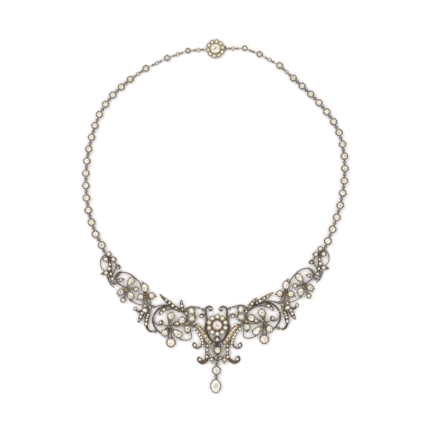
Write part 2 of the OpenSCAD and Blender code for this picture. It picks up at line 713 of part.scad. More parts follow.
module collet_chain(side) {
    places = chain_places(route(side));
    last = chain_count - 1;
    joint = side_of(side, sprig_joint_left, sprig_joint_right);
    color(silver)
    centred() {
        for (i = [0:last]) {
            r = chain_r(i);
            here = [places[i][0], places[i][1], r];
            ahead = i < last ? places[i + 1] : joint;
            half = i < last ? norm(ahead - places[i]) / 2 : r + ring_r + flat_eye_at;
            turn = bearing(places[i], ahead);
            ring_at = places[i] + half * [cos(turn), sin(turn)];
            difference() {
                union() {
                    translate(places[i]) cylinder(r = r, h = chain_rim);
                    eye(ring_at - ring_r * [cos(turn), sin(turn)], turn + 180, half - ring_r - r + solder);
                    if (i > 0) {
                        back_turn = bearing(places[i], places[i - 1]);
                        back_half = norm(places[i] - places[i - 1]) / 2;
                        eye(
                            places[i] + (back_half - ring_r) * [cos(back_turn), sin(back_turn)],
                            back_turn + 180,
                            back_half - ring_r - r + solder
                        );
                    } else {
                        span_eye(here, back(side)[0]);
                    }
                }
                translate([places[i][0], places[i][1], chain_rim - (rim_top - wire_top)])
                cylinder(r = r - collet_wall + stone_gap, h = seat_open);
                translate([places[i][0], places[i][1], -seat_open])
                cylinder(r = (r - collet_wall) * light_share, h = chain_rim + seat_open);
            }
            flat_ring(ring_at, ring_r);
        }
    }
}

module chain_stones(side) {
    places = chain_places(route(side));
    color(stone_colour)
    centred()
    for (i = [0:chain_count - 1]) {
        translate(places[i]) round_stone(chain_r(i) - collet_wall, chain_rim);
    }
}

module back_chain(side) {
    rows = concat([chain_row(side, 0)], back(side), [clasp_row]);
    color(silver)
    centred() {
        for (i = [1:3]) {
            row = rows[i];
            translate([row[0], row[1]]) round_collet(row[2] - collet_wall, row[2], rim_top);
            span_eye(row, rows[i - 1]);
            span_eye(row, rows[i + 1]);
        }
        for (i = [0:3]) {
            span_rings(rows[i], rows[i + 1]);
        }
    }
}

module back_stones(side) {
    color(stone_colour)
    centred()
    for (row = back(side)) {
        translate([row[0], row[1]]) round_stone(row[2] - collet_wall, rim_top);
    }
}

// Clasp

function wreath_turn(i, turn) = turn + 360 * i / wreath_count;

module clasp_frame() {
    wall = collet_wall;
    color(gold)
    centred() {
        span_eye(clasp_row, back_left[2]);
        translate(clasp_at)
        difference() {
            union() {
                cylinder(r = clasp_wreath_r, h = rim_top);
                cylinder(r = clasp_stone_r + wall, h = clasp_rim);
                for (i = [0:wreath_count - 1]) {
                    rotate(wreath_turn(i, clasp_turn))
                    translate([clasp_wreath_r, 0])
                    cylinder(r = clasp_small_r + wall, h = rim_top);
                }
            }
            translate([0, 0, clasp_rim - (rim_top - wire_top)])
            cylinder(r = clasp_stone_r + stone_gap, h = seat_open);
            translate([0, 0, clasp_light_from])
            cylinder(r = clasp_stone_r * light_share, h = clasp_rim);
            for (i = [0:wreath_count - 1]) {
                rotate(wreath_turn(i, clasp_turn))
                translate([clasp_wreath_r, 0]) {
                    translate([0, 0, wire_top])
                    cylinder(r = clasp_small_r + stone_gap, h = seat_open);
                    translate([0, 0, clasp_light_from])
                    cylinder(r = clasp_small_r * light_share, h = seat_open);
                }
            }
            rotate(tongue_heading)
            translate([clasp_edge - tongue_l, -slot_w / 2, clasp_plate_h])
            cube([2 * tongue_l, slot_w, slot_h]);
        }
    }
}

module clasp_tongue() {
    color(gold)
    centred()
    translate([clasp_at[0], clasp_at[1], 0]) {
        rotate(tongue_heading)
        translate([clasp_edge - tongue_l + slot_gap, slot_gap - slot_w / 2, clasp_plate_h + slot_gap])
        cube([tongue_l + 0.7, slot_w - 2 * slot_gap, slot_h - 2 * slot_gap]);
        rotate(bearing(clasp_at, back_right[2]))
        flat_eye(clasp_edge + 0.4, span_post(clasp_row, back_right[2]) - 0.4);
    }
}

module clasp_stones() {
    color(stone_colour)
    centred()
    translate(clasp_at) {
        round_stone(clasp_stone_r, clasp_rim);
        for (i = [0:wreath_count - 1]) {
            rotate(wreath_turn(i, clasp_turn))
            translate([clasp_wreath_r, 0])
            round_stone(clasp_small_r, rim_top);
        }
    }
}

// Front sections

module end_sprig(side) {
    places = chain_places(route(side));
    joint = side_of(side, sprig_joint_left, sprig_joint_right);
    last = places[chain_count - 1];
    turn = bearing(last, joint);
    reach = chain_r_front + 2 * ring_r + flat_eye_at;
    color(silver)
    centred() {
        lay(side, lay_of(side, lay_sprig)) openwork(sprig_wires, sprig_collets, sprig_plates);
        eye(last + reach * [cos(turn), sin(turn)], turn, norm(joint - last) - reach);
        eye_ahead(couplings(side)[4]);
    }
}

module spray_section(side) {
    color(silver)
    centred() {
        lay(side, lay_of(side, lay_spray))
        openwork(spray_wires, spray_collets, spray_plates)
        translate([ring_curl[0], ring_curl[1]])
        difference() {
            circle(r = ring_curl[2]);
            circle(r = ring_curl[3]);
        }
        eye_behind(couplings(side)[4]);
        eye_ahead(couplings(side)[2]);
        eye_ahead(couplings(side)[3]);
    }
}

function scroll_wires_of(side) = concat(scroll_wires, side_of(side, scroll_left_wires, scroll_right_wires));
function scroll_collets_of(side) =
    concat(scroll_collets, side_of(side, scroll_left_collets, scroll_right_collets));

module scroll_section(side) {
    color(silver)
    centred() {
        lay(side, lay_of(side, lay_scroll))
        openwork(scroll_wires_of(side), scroll_collets_of(side), scroll_plates);
        for (k = [0, 1]) {
            eye_ahead(couplings(side)[k]);
        }
        for (k = [2, 3]) {
            eye_behind(couplings(side)[k]);
        }
    }
}

function wreath_rows() =
    [for (i = [0:wreath_count - 1])
        let (a = wreath_turn(i, 90))
        [wreath_r * cos(a), -47.5 + wreath_r * sin(a), 0, wreath_stone_r, wreath_stone_r, 0, 0]];
centre_stone_row = [0, -47.5, 0, centre_stone_r, centre_stone_r, 0, 0];
centre_pairs = concat(
    centre_collets,
    [for (row = centre_collets) [-row[0], row[1], 180 - row[2], row[3], row[4], row[5], row[6]]]
);
function mirrored_wires(wires) =
    [for (wire = wires) [wire[0], wire[1], wire[2], [for (p = wire[3]) [-p[0], p[1]]]]];
centre_all_wires = concat(
    centre_wires,
    centre_right_wires,
    mirrored_wires(centre_wires),
    mirrored_wires(centre_left_wires)
);

module centre_section() {
    rows = concat([centre_stone_row], wreath_rows(), centre_line_collets, centre_pairs);
    color(silver)
    centred() {
        translate([centre_axis, 0]) openwork(centre_all_wires, rows, centre_plates);
        for (side = [left, right], k = [0, 1]) {
            eye_behind(couplings(side)[k]);
        }
        eye_behind(concat(drop_joints[0], [0.5, 0]));
    }
}

module centre_stones(rows) {
    centred() translate([centre_axis, 0]) set_stones(rows);
}

module centre_stone() {
    color(blush_stone) centred() translate([centre_axis, 0]) set_stone(centre_stone_row);
}

module scroll_stones(side) {
    centred() lay(side, lay_of(side, lay_scroll)) set_stones(scroll_collets_of(side));
}

module joining_rings(side) {
    color(silver)
    centred()
    for (c = couplings(side)) {
        flat_ring([c[0], c[1]], ring_r);
    }
}

// Drop

module drop_upper_collet() {
    top_c = drop_joints[0];
    low_c = drop_joints[1];
    outer = drop_round_r + collet_wall;
    color(silver)
    centred()
    difference() {
        union() {
            translate(drop_round_at) cylinder(r = outer, h = chain_rim);
            eye_ahead(concat(top_c, [0, 0.6]));
            eye_behind(concat(low_c, [0.6, 0]));
        }
        translate([drop_round_at[0], drop_round_at[1], chain_rim - (rim_top - wire_top)])
        cylinder(r = drop_round_r + stone_gap, h = seat_open);
        translate([drop_round_at[0], drop_round_at[1], -seat_open])
        cylinder(r = drop_round_r * light_share, h = chain_rim + seat_open);
    }
}

module drop_lower_collet() {
    ledge = chain_rim - (rim_top - wire_top);
    color(silver)
    centred() {
        translate(drop_oval_at) {
            linear_extrude(ledge)
            difference() {
                flat_form(drop_oval_rx + collet_wall, drop_oval_ry + collet_wall, 0);
                flat_form(drop_oval_rx * light_share, drop_oval_ry * light_share, 0);
            }
            translate([0, 0, ledge])
            linear_extrude(chain_rim - ledge)
            difference() {
                flat_form(drop_oval_rx + collet_wall, drop_oval_ry + collet_wall, 0);
                flat_form(drop_oval_rx + stone_gap, drop_oval_ry + stone_gap, 0);
            }
        }
        eye_ahead(concat(drop_joints[1], [0, 0.6]));
    }
}

module drop_rings() {
    color(silver)
    centred()
    for (c = drop_joints) {
        flat_ring([c[0], c[1]], ring_r);
    }
}

module drop_upper_stone() {
    color(stone_colour) centred() translate(drop_round_at) round_stone(drop_round_r, chain_rim);
}

module drop_lower_stone() {
    ledge = chain_rim - (rim_top - wire_top);
    color(stone_colour)
    centred()
    translate([drop_oval_at[0], drop_oval_at[1], girdle_z(drop_oval_rx, ledge, chain_rim)])
    stone(drop_oval_rx, drop_oval_ry, 0);
}

clasp_frame();
clasp_tongue();
clasp_stones();
back_chain(left);  // back_chain_left
back_chain(right);  // back_chain_right
back_stones(left);  // back_stones_left
back_stones(right);  // back_stones_right
collet_chain(left);  // collet_chain_left
collet_chain(right);  // collet_chain_right
chain_stones(left);  // chain_stones_left
chain_stones(right);  // chain_stones_right
end_sprig(left);  // end_sprig_left
end_sprig(right);  // end_sprig_right
centred() lay(left, lay_sprig) set_stones(sprig_collets);  // sprig_stones_left
centred() set_stones(sprig_collets);  // sprig_stones_right
spray_section(left);  // spray_section_left
spray_section(right);  // spray_section_right
centred() lay(left, lay_spray) set_stones(spray_collets);  // spray_stones_left
centred() set_stones(spray_collets);  // spray_stones_right
scroll_section(left);  // scroll_section_left
scroll_section(right);  // scroll_section_right
scroll_stones(left);  // scroll_stones_left
scroll_stones(right);  // scroll_stones_right
centre_section();
centre_stone();
centre_stones(wreath_rows());  // centre_cluster_stones
centre_stones(concat(centre_line_collets, centre_pairs));  // centre_scroll_stones
joining_rings(left);  // joining_rings_left
joining_rings(right);  // joining_rings_right
drop_upper_collet();
drop_lower_collet();
drop_rings();
drop_upper_stone();
drop_lower_stone();
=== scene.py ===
import logging
import math
import random
from collections.abc import Iterable, Sequence
from dataclasses import dataclass, field, replace
from enum import Enum

import bmesh
import bpy
from bmesh.types import BMEdge, BMesh, BMFace, BMVert
from bpy.types import Material, Node, NodeSocket, NodeTree
from mathutils import Matrix, Vector


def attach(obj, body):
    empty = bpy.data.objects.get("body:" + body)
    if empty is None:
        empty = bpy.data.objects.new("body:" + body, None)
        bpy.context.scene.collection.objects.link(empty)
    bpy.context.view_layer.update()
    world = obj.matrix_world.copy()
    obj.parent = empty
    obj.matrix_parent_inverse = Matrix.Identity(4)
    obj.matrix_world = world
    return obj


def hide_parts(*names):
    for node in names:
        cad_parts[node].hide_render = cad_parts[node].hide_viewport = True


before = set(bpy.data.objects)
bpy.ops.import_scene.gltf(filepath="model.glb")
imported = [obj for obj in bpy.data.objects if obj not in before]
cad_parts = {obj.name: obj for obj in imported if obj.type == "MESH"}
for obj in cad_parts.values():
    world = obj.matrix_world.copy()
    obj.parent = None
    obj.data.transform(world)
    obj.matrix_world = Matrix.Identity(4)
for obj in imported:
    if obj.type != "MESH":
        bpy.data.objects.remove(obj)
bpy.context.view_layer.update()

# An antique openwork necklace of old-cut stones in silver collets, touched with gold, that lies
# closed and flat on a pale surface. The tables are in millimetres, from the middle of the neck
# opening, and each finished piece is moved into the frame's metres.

log = logging.getLogger("necklace")

Place = tuple[float, float]
Span = tuple[float, float]
Triple = tuple[float, float, float]

MIDDLE = (-0.97, 1.53)
MILLIMETRE = 0.001
CENTRE_AXIS = -0.1

# Heights: underside of the broad wires, top of the wires, rims of the collets, middle of the links
FOOT = 0.4
WIRE_TOP = 1.6
RIM = 2.3
CHAIN_RIM = 2.6
CLASP_RIM = 3.05
LINK_Z = 1.0

# Wires: how far they stand over WIRE_TOP, the underside of those wider than each width, how far the
# body keeps off a rounded end, the rounding itself (shares of the end's radius and of its size), and
# the share of the way between two places over which a heading is taken
PROUD = 0.08
FEET = ((0.9, FOOT), (0.6, 0.8), (0.0, 1.1))
END_ROOM = 1.2
END_ROUNDING = ((0.0, 0.42), (0.3, 0.78), (1.0, 1.0))
TURN_STEP = 0.02

# Collets: wall, play under the stone, the deepest that its girdle lies under the rim, and how much
# narrower a petal grows towards its point
WALL = 0.34
PLAY = 0.08
GIRDLE_SINK = 0.3
TAPER = 0.8

# Links: half width of the wire, radius of a jump ring, and a flat eye's reach from post to middle
LINK_WIRE = 0.165
RING_R = 0.55
EYE_ARM = 0.5

# Stones, as shares of their half width: depth, height, and the open hole under them
PAVILION = 0.8
CROWN = 0.34
LIGHT = 0.7

# Half widths over which a stone has the old cut, and a collet each number of claws
OLD_CUT = 0.7
CLAWS = ((1.1, 8), (0.7, 6), (0.0, 4))

# Steps of a full turn, and the angle over which an edge of metal is sharp
PLATE_STEPS = 40
COLLET_STEPS = 24
RING_STEPS = 20
FLAT_EYE_STEPS = 18
EYE_STEPS = 16
COLLAR_STEPS = 12
SHARP_EDGE = math.radians(38)


class Side(Enum):
    """A side of the necklace as it lies."""

    LEFT = -1
    RIGHT = 1

    @property
    def word(self) -> str:
        """The side's name, as the nodes have it."""
        return self.name.lower()


class Metal(Enum):
    """The metals, by their place in a piece's list of materials."""

    SILVER = 0
    GOLD = 1
    DARK = 2
    OLIVE = 3
    BLACK = 4
    LINK = 5


class Section(Enum):
    """Right halves of the outlines of a wire, as shares of its width and of its height."""

    ROUND = ((0.4, 0.0), (0.5, 0.12), (0.5, 0.6), (0.42, 0.84), (0.2, 1.0))
    RIDGE = ((0.4, 0.0), (0.5, 0.12), (0.5, 0.82), (0.42, 0.96), (0.08, 1.1))
    GUTTER = ((0.4, 0.0), (0.5, 0.12), (0.5, 0.86), (0.4, 1.02), (0.2, 0.84))

    @property
    def outline(self) -> list[Place]:
        """The whole outline."""
        left = [(-across, up) for across, up in self.value]
        return [left[0], *self.value, *left[:0:-1]]


SILVER, GOLD, DARK, OLIVE, BLACK, LINK = Metal
ROUND, RIDGE, GUTTER = Section
Eye = tuple[Matrix, float, Metal]


# Moves and turns


def shift(x: float, y: float, z: float = 0.0) -> Matrix:
    """A move."""
    return Matrix.Translation((x, y, z))


def turned(angle: float, axis: str = "Z") -> Matrix:
    """A turn round an axis, in radians."""
    return Matrix.Rotation(angle, 4, axis)


def unit(angle: float) -> Vector:
    """A step of length 1 along a heading in radians."""
    return Vector((math.cos(angle), math.sin(angle)))


def turns(count: int, first: float = 0.0) -> list[float]:
    """Equal turns that fill a circle, in radians; the first is a share of one of them."""
    return [math.tau * (i + first) / count for i in range(count)]


# Places that leave a shape where it is, mirror it, or take it from the tables to the frame
HERE = Matrix.Identity(4)
MIRROR = Matrix.Diagonal((-1.0, 1.0, 1.0, 1.0))
TO_FRAME = Matrix.Scale(MILLIMETRE, 4) @ shift(-MIDDLE[0], -MIDDLE[1])


# What the tables hold


@dataclass(frozen=True)
class Curve:
    """A smooth curve through places on the surface."""

    places: tuple[Place, ...]

    def _place(self, k: int) -> Vector:
        """A place by its number; past an end it lies in line with that end."""
        near = max(0, min(k, len(self.places) - 1))
        return 2 * Vector(self.places[near]) - Vector(self.places[2 * near - k])

    def spot(self, u: float) -> Vector:
        """Finds a point of the curve.

        Args:
            u: The number of the place, with its share of the way to the next.

        Returns:
            The point on the surface.
        """
        k = max(0, min(math.floor(u), len(self.places) - 2))
        a, b, c, d = (self._place(k + i) for i in (-1, 0, 1, 2))
        t = u - k
        bend = 2 * a - 5 * b + 4 * c - d
        return (2 * b + (c - a) * t + bend * t * t + (3 * b - a - 3 * c + d) * t**3) / 2

    def turn(self, u: float) -> float:
        """The heading of the curve at u, in radians."""
        along = self.spot(u + TURN_STEP) - self.spot(u - TURN_STEP)
        return math.atan2(along.y, along.x)


@dataclass(frozen=True)
class Wire:
    """A wire of the openwork: three widths, its places, outline, metal and how far it stands proud."""

    start: float
    middle: float
    end: float
    places: tuple[Place, ...]
    section: Section = ROUND
    metal: Metal = DARK
    lift: float = 0.0

    def width(self, f: float) -> float:
        """The width at a share f of the wire's length, smooth through its three widths."""
        return self.start * (1 - f) * (1 - 2 * f) + self.middle * 4 * f * (1 - f) + self.end * f * (2 * f - 1)

    @property
    def foot(self) -> float:
        """The height of the wire's underside: the thinner the wire, the less deep it is."""
        return next(foot for width, foot in FEET if self.middle > width)

    def stations(self) -> list[Matrix]:
        """Places the wire's outline along its curve, with both ends rounded off.

        Returns:
            A matrix for each station, from an outline of unit size.
        """
        curve, spans, steps = Curve(self.places), len(self.places) - 1, 4
        count = spans * steps
        spots = [curve.spot(i / steps) for i in range(count + 1)]
        runs = [0.0]
        for a, b in zip(spots, spots[1:]):
            runs.append(runs[-1] + (b - a).length)
        body = []
        for i in range(1, count):
            near = min(runs[i], runs[-1] - runs[i])
            end = 0.0 if runs[i] < runs[-1] / 2 else 1.0
            if near > END_ROOM * self.width(end) / 2:
                body.append(self._station(spots[i], curve.turn(i / steps), self.width(i / count), 1.0))
        return self._cap(curve, 0.0, 1) + body + self._cap(curve, float(spans), -1)[::-1]

    def _cap(self, curve: Curve, u: float, sign: int) -> list[Matrix]:
        """Rounds off one end.

        Args:
            curve: The wire's curve.
            u: Where the end is on the curve.
            sign: 1 at the start of the wire, -1 at its end.

        Returns:
            The stations from the tip inwards.
        """
        width, turn = self.width(0.0 if sign > 0 else 1.0), curve.turn(u)
        made = []
        for along, swell in END_ROUNDING:
            spot = curve.spot(u) + sign * along * (width / 2) * unit(turn)
            made.append(self._station(spot, turn, width * swell, swell))
        return made

    def _station(self, spot: Vector, turn: float, width: float, swell: float) -> Matrix:
        """Places the outline at one spot.

        Args:
            spot: Where the outline stands.
            turn: The heading of the wire there, in radians.
            width: The width there.
            swell: The share of the full height there.

        Returns:
            The matrix for an outline of unit size.
        """
        height = WIRE_TOP + PROUD + self.lift - self.foot
        base = self.foot + height * (1 - swell) / 2
        return shift(spot.x, spot.y, base) @ turned(turn) @ Matrix.Diagonal((1.0, width, height * swell, 1.0))


@dataclass(frozen=True)
class Seat:
    """A collet: place, turn in degrees, half length and width of its stone, and the reach of both points."""

    x: float
    y: float
    turn: float
    length: float
    width: float
    stone_tip: float = 0.0
    metal_tip: float = 0.0
    rim: float = RIM
    metal: Metal = DARK
    wall: float = WALL

    @property
    def spot(self) -> Vector:
        """The middle."""
        return Vector((self.x, self.y))

    @property
    def place(self) -> Matrix:
        """Where the collet stands and how it is turned."""
        return shift(self.x, self.y) @ turned(math.radians(self.turn))

    @property
    def small(self) -> float:
        """The half width of the stone across its narrow way."""
        return min(self.length, self.width)

    @property
    def edge(self) -> float:
        """The distance from the middle to the outside of the wall."""
        return self.length + self.wall

    @property
    def ledge(self) -> float:
        """The height of the ledge under the stone."""
        return self.rim - (RIM - WIRE_TOP)

    @property
    def girdle(self) -> float:
        """The height of the stone's girdle."""
        return max(self.ledge + PAVILION * ((1 - LIGHT) * self.small + PLAY), self.rim - GIRDLE_SINK)

    def free(self, other: "Seat") -> float:
        """The free length between the edges of two collets."""
        return (other.spot - self.spot).length - self.edge - other.edge


def disc(x: float, y: float, radius: float, **others: float | Metal) -> Seat:
    """A round collet, by its place and the half width of its stone."""
    return Seat(x, y, 0, radius, radius, **others)


@dataclass(frozen=True)
class Boss:
    """A domed boss where wires meet: place, radius and metal."""

    x: float
    y: float
    radius: float
    metal: Metal = DARK


@dataclass(frozen=True)
class Pave:
    """A tiny stone set into a wire, by place and half width, and how far it stands above the wire."""

    x: float
    y: float
    radius: float
    lift: float = 0.0


@dataclass(frozen=True)
class Pieces:
    """Wires, collets and tiny stones of a section, drawn for the right half."""

    wires: tuple[Wire, ...] = ()
    seats: tuple[Seat, ...] = ()
    paves: tuple[Pave, ...] = ()


@dataclass(frozen=True)
class Lay:
    """How the left copy of a section lies: further out, up, turned, and about which place."""

    out: float
    up: float
    turn: float
    pivot: Place

    def matrix(self, side: Side) -> Matrix:
        """Places a section drawn for the right half.

        Args:
            side: The side that it lies on.

        Returns:
            The matrix from the tables to that side.
        """
        if side is Side.RIGHT:
            return HERE
        x, y = self.pivot
        return MIRROR @ shift(self.out + x, self.up + y) @ turned(math.radians(self.turn)) @ shift(-x, -y)


@dataclass(frozen=True)
class Coupling:
    """A jump ring between two sections: place, heading in degrees, and the reach of the bars to them."""

    x: float
    y: float
    heading: float
    back: float
    ahead: float
    metal: Metal = LINK

    def eye(self, forward: bool) -> Eye:
        """Places the upright eye on one side of the ring.

        Args:
            forward: Whether it is the eye ahead of the ring.

        Returns:
            The place of the eye, with its bar along x, the reach of the bar, and its metal.
        """
        turn = math.radians(self.heading)
        sign, heading, reach = (1, turn, self.ahead) if forward else (-1, turn + math.pi, self.back)
        at = Vector((self.x, self.y, LINK_Z)) + sign * RING_R * unit(turn).to_3d()
        return shift(*at) @ turned(heading), reach, self.metal


def tapered(near: float, sharp: float = 1.0) -> float:
    """The share of its width that a form keeps where near is 1 at its point and 0 at the far side."""
    return 1 - TAPER * sharp * near**5


def petal(co: Vector, tip: float) -> Vector:
    """Draws a round form of radius 1 out to a point along x.

    Args:
        co: A point of the round form.
        tip: The reach of the point, or 0 where the form stays round.

    Returns:
        The moved point.
    """
    radius = co.xy.length
    if tip == 0.0 or radius < 1e-6:
        return co
    near = (1 + co.x / radius) / 2
    return Vector((co.x + min(radius, 1.0) * (tip - 1.0) * near**4, co.y * tapered(near), co.z))


# Moulds and benches: where meshes are put together


def sweep(outline: Sequence[Place], stations: Sequence[Matrix]) -> BMesh:
    """Draws an outline along its stations, closed at both ends.

    Args:
        outline: The outline, across and up.
        stations: The place of the outline at each station.

    Returns:
        The swept shape.
    """
    shape = bmesh.new()
    ring = bmesh.ops.create_circle(shape, cap_ends=True, segments=len(outline), radius=1.0)["verts"]
    for vert, (across, up) in zip(ring, outline):
        vert.co = (0.0, across, up)
    bmesh.ops.transform(shape, matrix=stations[0], verts=ring)
    edges = list(shape.edges)
    for before, after in zip(stations, stations[1:]):
        grown = bmesh.ops.extrude_edge_only(shape, edges=edges)["geom"]
        fresh = {part for part in grown if isinstance(part, BMVert)}
        edges = [part for part in grown if isinstance(part, BMEdge) and fresh.issuperset(part.verts)]
        bmesh.ops.transform(shape, matrix=after @ before.inverted(), verts=list(fresh))
    bmesh.ops.contextual_create(shape, geom=edges)
    return shape


def spun(profile: Iterable[Place], steps: int) -> BMesh:
    """Turns a closed profile round the z axis.

    Args:
        profile: Radius and height of each corner, in order.
        steps: How many steps make the full turn.

    Returns:
        The turned shape.
    """
    shape = bmesh.new()
    corners = [shape.verts.new((radius, 0.0, height)) for radius, height in profile]
    lines = [shape.edges.new(pair) for pair in zip(corners, corners[1:] + corners[:1])]
    middle, up = (0, 0, 0), (0, 0, 1)
    bmesh.ops.spin(
        shape, geom=corners + lines, cent=middle, axis=up, angle=math.tau, steps=steps, use_merge=True
    )
    bmesh.ops.remove_doubles(shape, verts=shape.verts, dist=1e-5)
    return shape


def torus(radius: float, wire: float) -> BMesh:
    """Bends a round wire to a ring that lies flat, by the radius of its middle line and of the wire."""
    return spun([(radius + wire * math.cos(a), wire * math.sin(a)) for a in turns(8)], RING_STEPS)


def upright(spots: Sequence[tuple[float, ...]]) -> list[Matrix]:
    """Places an outline at spots of the xz plane, square to the line through them.

    Args:
        spots: Radius and height of each spot, and whatever else goes with it.

    Returns:
        A matrix for each spot.
    """
    made = []
    for spot, before, after in zip(spots, [spots[0], *spots], [*spots[1:], spots[-1]]):
        pitch = math.atan2(after[1] - before[1], after[0] - before[0])
        made.append(shift(spot[0], 0.0, spot[1]) @ turned(-pitch, "Y"))
    return made


def leaning(spots: Sequence[Triple], sides: int = 6) -> BMesh:
    """Draws a round claw through spots in the xz plane.

    Args:
        spots: Radius, height and half width of the claw at each spot.
        sides: The sides of the claw.

    Returns:
        The claw.
    """
    sizes = [Matrix.Diagonal((1.0, half, half, 1.0)) for _, _, half in spots]
    outline = [(math.cos(a), math.sin(a)) for a in turns(sides)]
    return sweep(outline, [there @ size for there, size in zip(upright(spots), sizes)])


def put_in_scene(name: str, data: bpy.types.ID) -> bpy.types.Object:
    """Makes an object and links it to the scene.

    Args:
        name: Its name.
        data: Its mesh, lamp or camera.

    Returns:
        The object.
    """
    made = bpy.data.objects.new(name, data)
    bpy.context.scene.collection.objects.link(made)
    return made


class Bench:
    """Gathers the parts of one piece in millimetres, and hands it over as an object in the frame.

    A smooth piece is shaded smooth up to its sharp edges, and any other is shaded flat.
    """

    smooth = True

    def __init__(self) -> None:
        """Starts with an empty mesh."""
        self.mesh: BMesh = bmesh.new()

    def cast(self, mould: BMesh, place: Matrix, metal: Metal = SILVER) -> list[BMFace]:
        """Adds a mould to the piece, and uses it up.

        Args:
            mould: The shape, around its own origin.
            place: Where it goes.
            metal: The metal of all its faces.

        Returns:
            The new faces.
        """
        bmesh.ops.transform(mould, matrix=place, verts=mould.verts)
        data = bpy.data.meshes.new("mould")
        mould.to_mesh(data)
        mould.free()
        first = len(self.mesh.faces)
        self.mesh.from_mesh(data)
        bpy.data.meshes.remove(data)
        self.mesh.faces.ensure_lookup_table()
        faces = self.mesh.faces[first:]
        for face in faces:
            face.material_index = metal.value
        return faces

    def finish(self, name: str, node: str, slot: str, *materials: Material) -> None:
        """Makes the object, hangs it on the root body, and hides the node's part that it takes the place of.

        Args:
            name: The name of the piece.
            node: The node whose part it hides and takes the place of.
            slot: Not used.
            materials: The materials, in the order of their numbers.
        """
        bmesh.ops.transform(self.mesh, matrix=TO_FRAME, verts=self.mesh.verts)
        bmesh.ops.recalc_face_normals(self.mesh, faces=self.mesh.faces)
        data = bpy.data.meshes.new(name)
        self.mesh.to_mesh(data)
        self.mesh.free()
        for material in materials:
            data.materials.append(material)
        data.polygons.foreach_set("use_smooth", [self.smooth] * len(data.polygons))
        if self.smooth:
            data.set_sharp_from_angle(angle=SHARP_EDGE)
        piece = put_in_scene(name, data)
        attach(piece, "root")
        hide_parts(node)
        log.info("%s: %d faces", name, len(data.polygons))


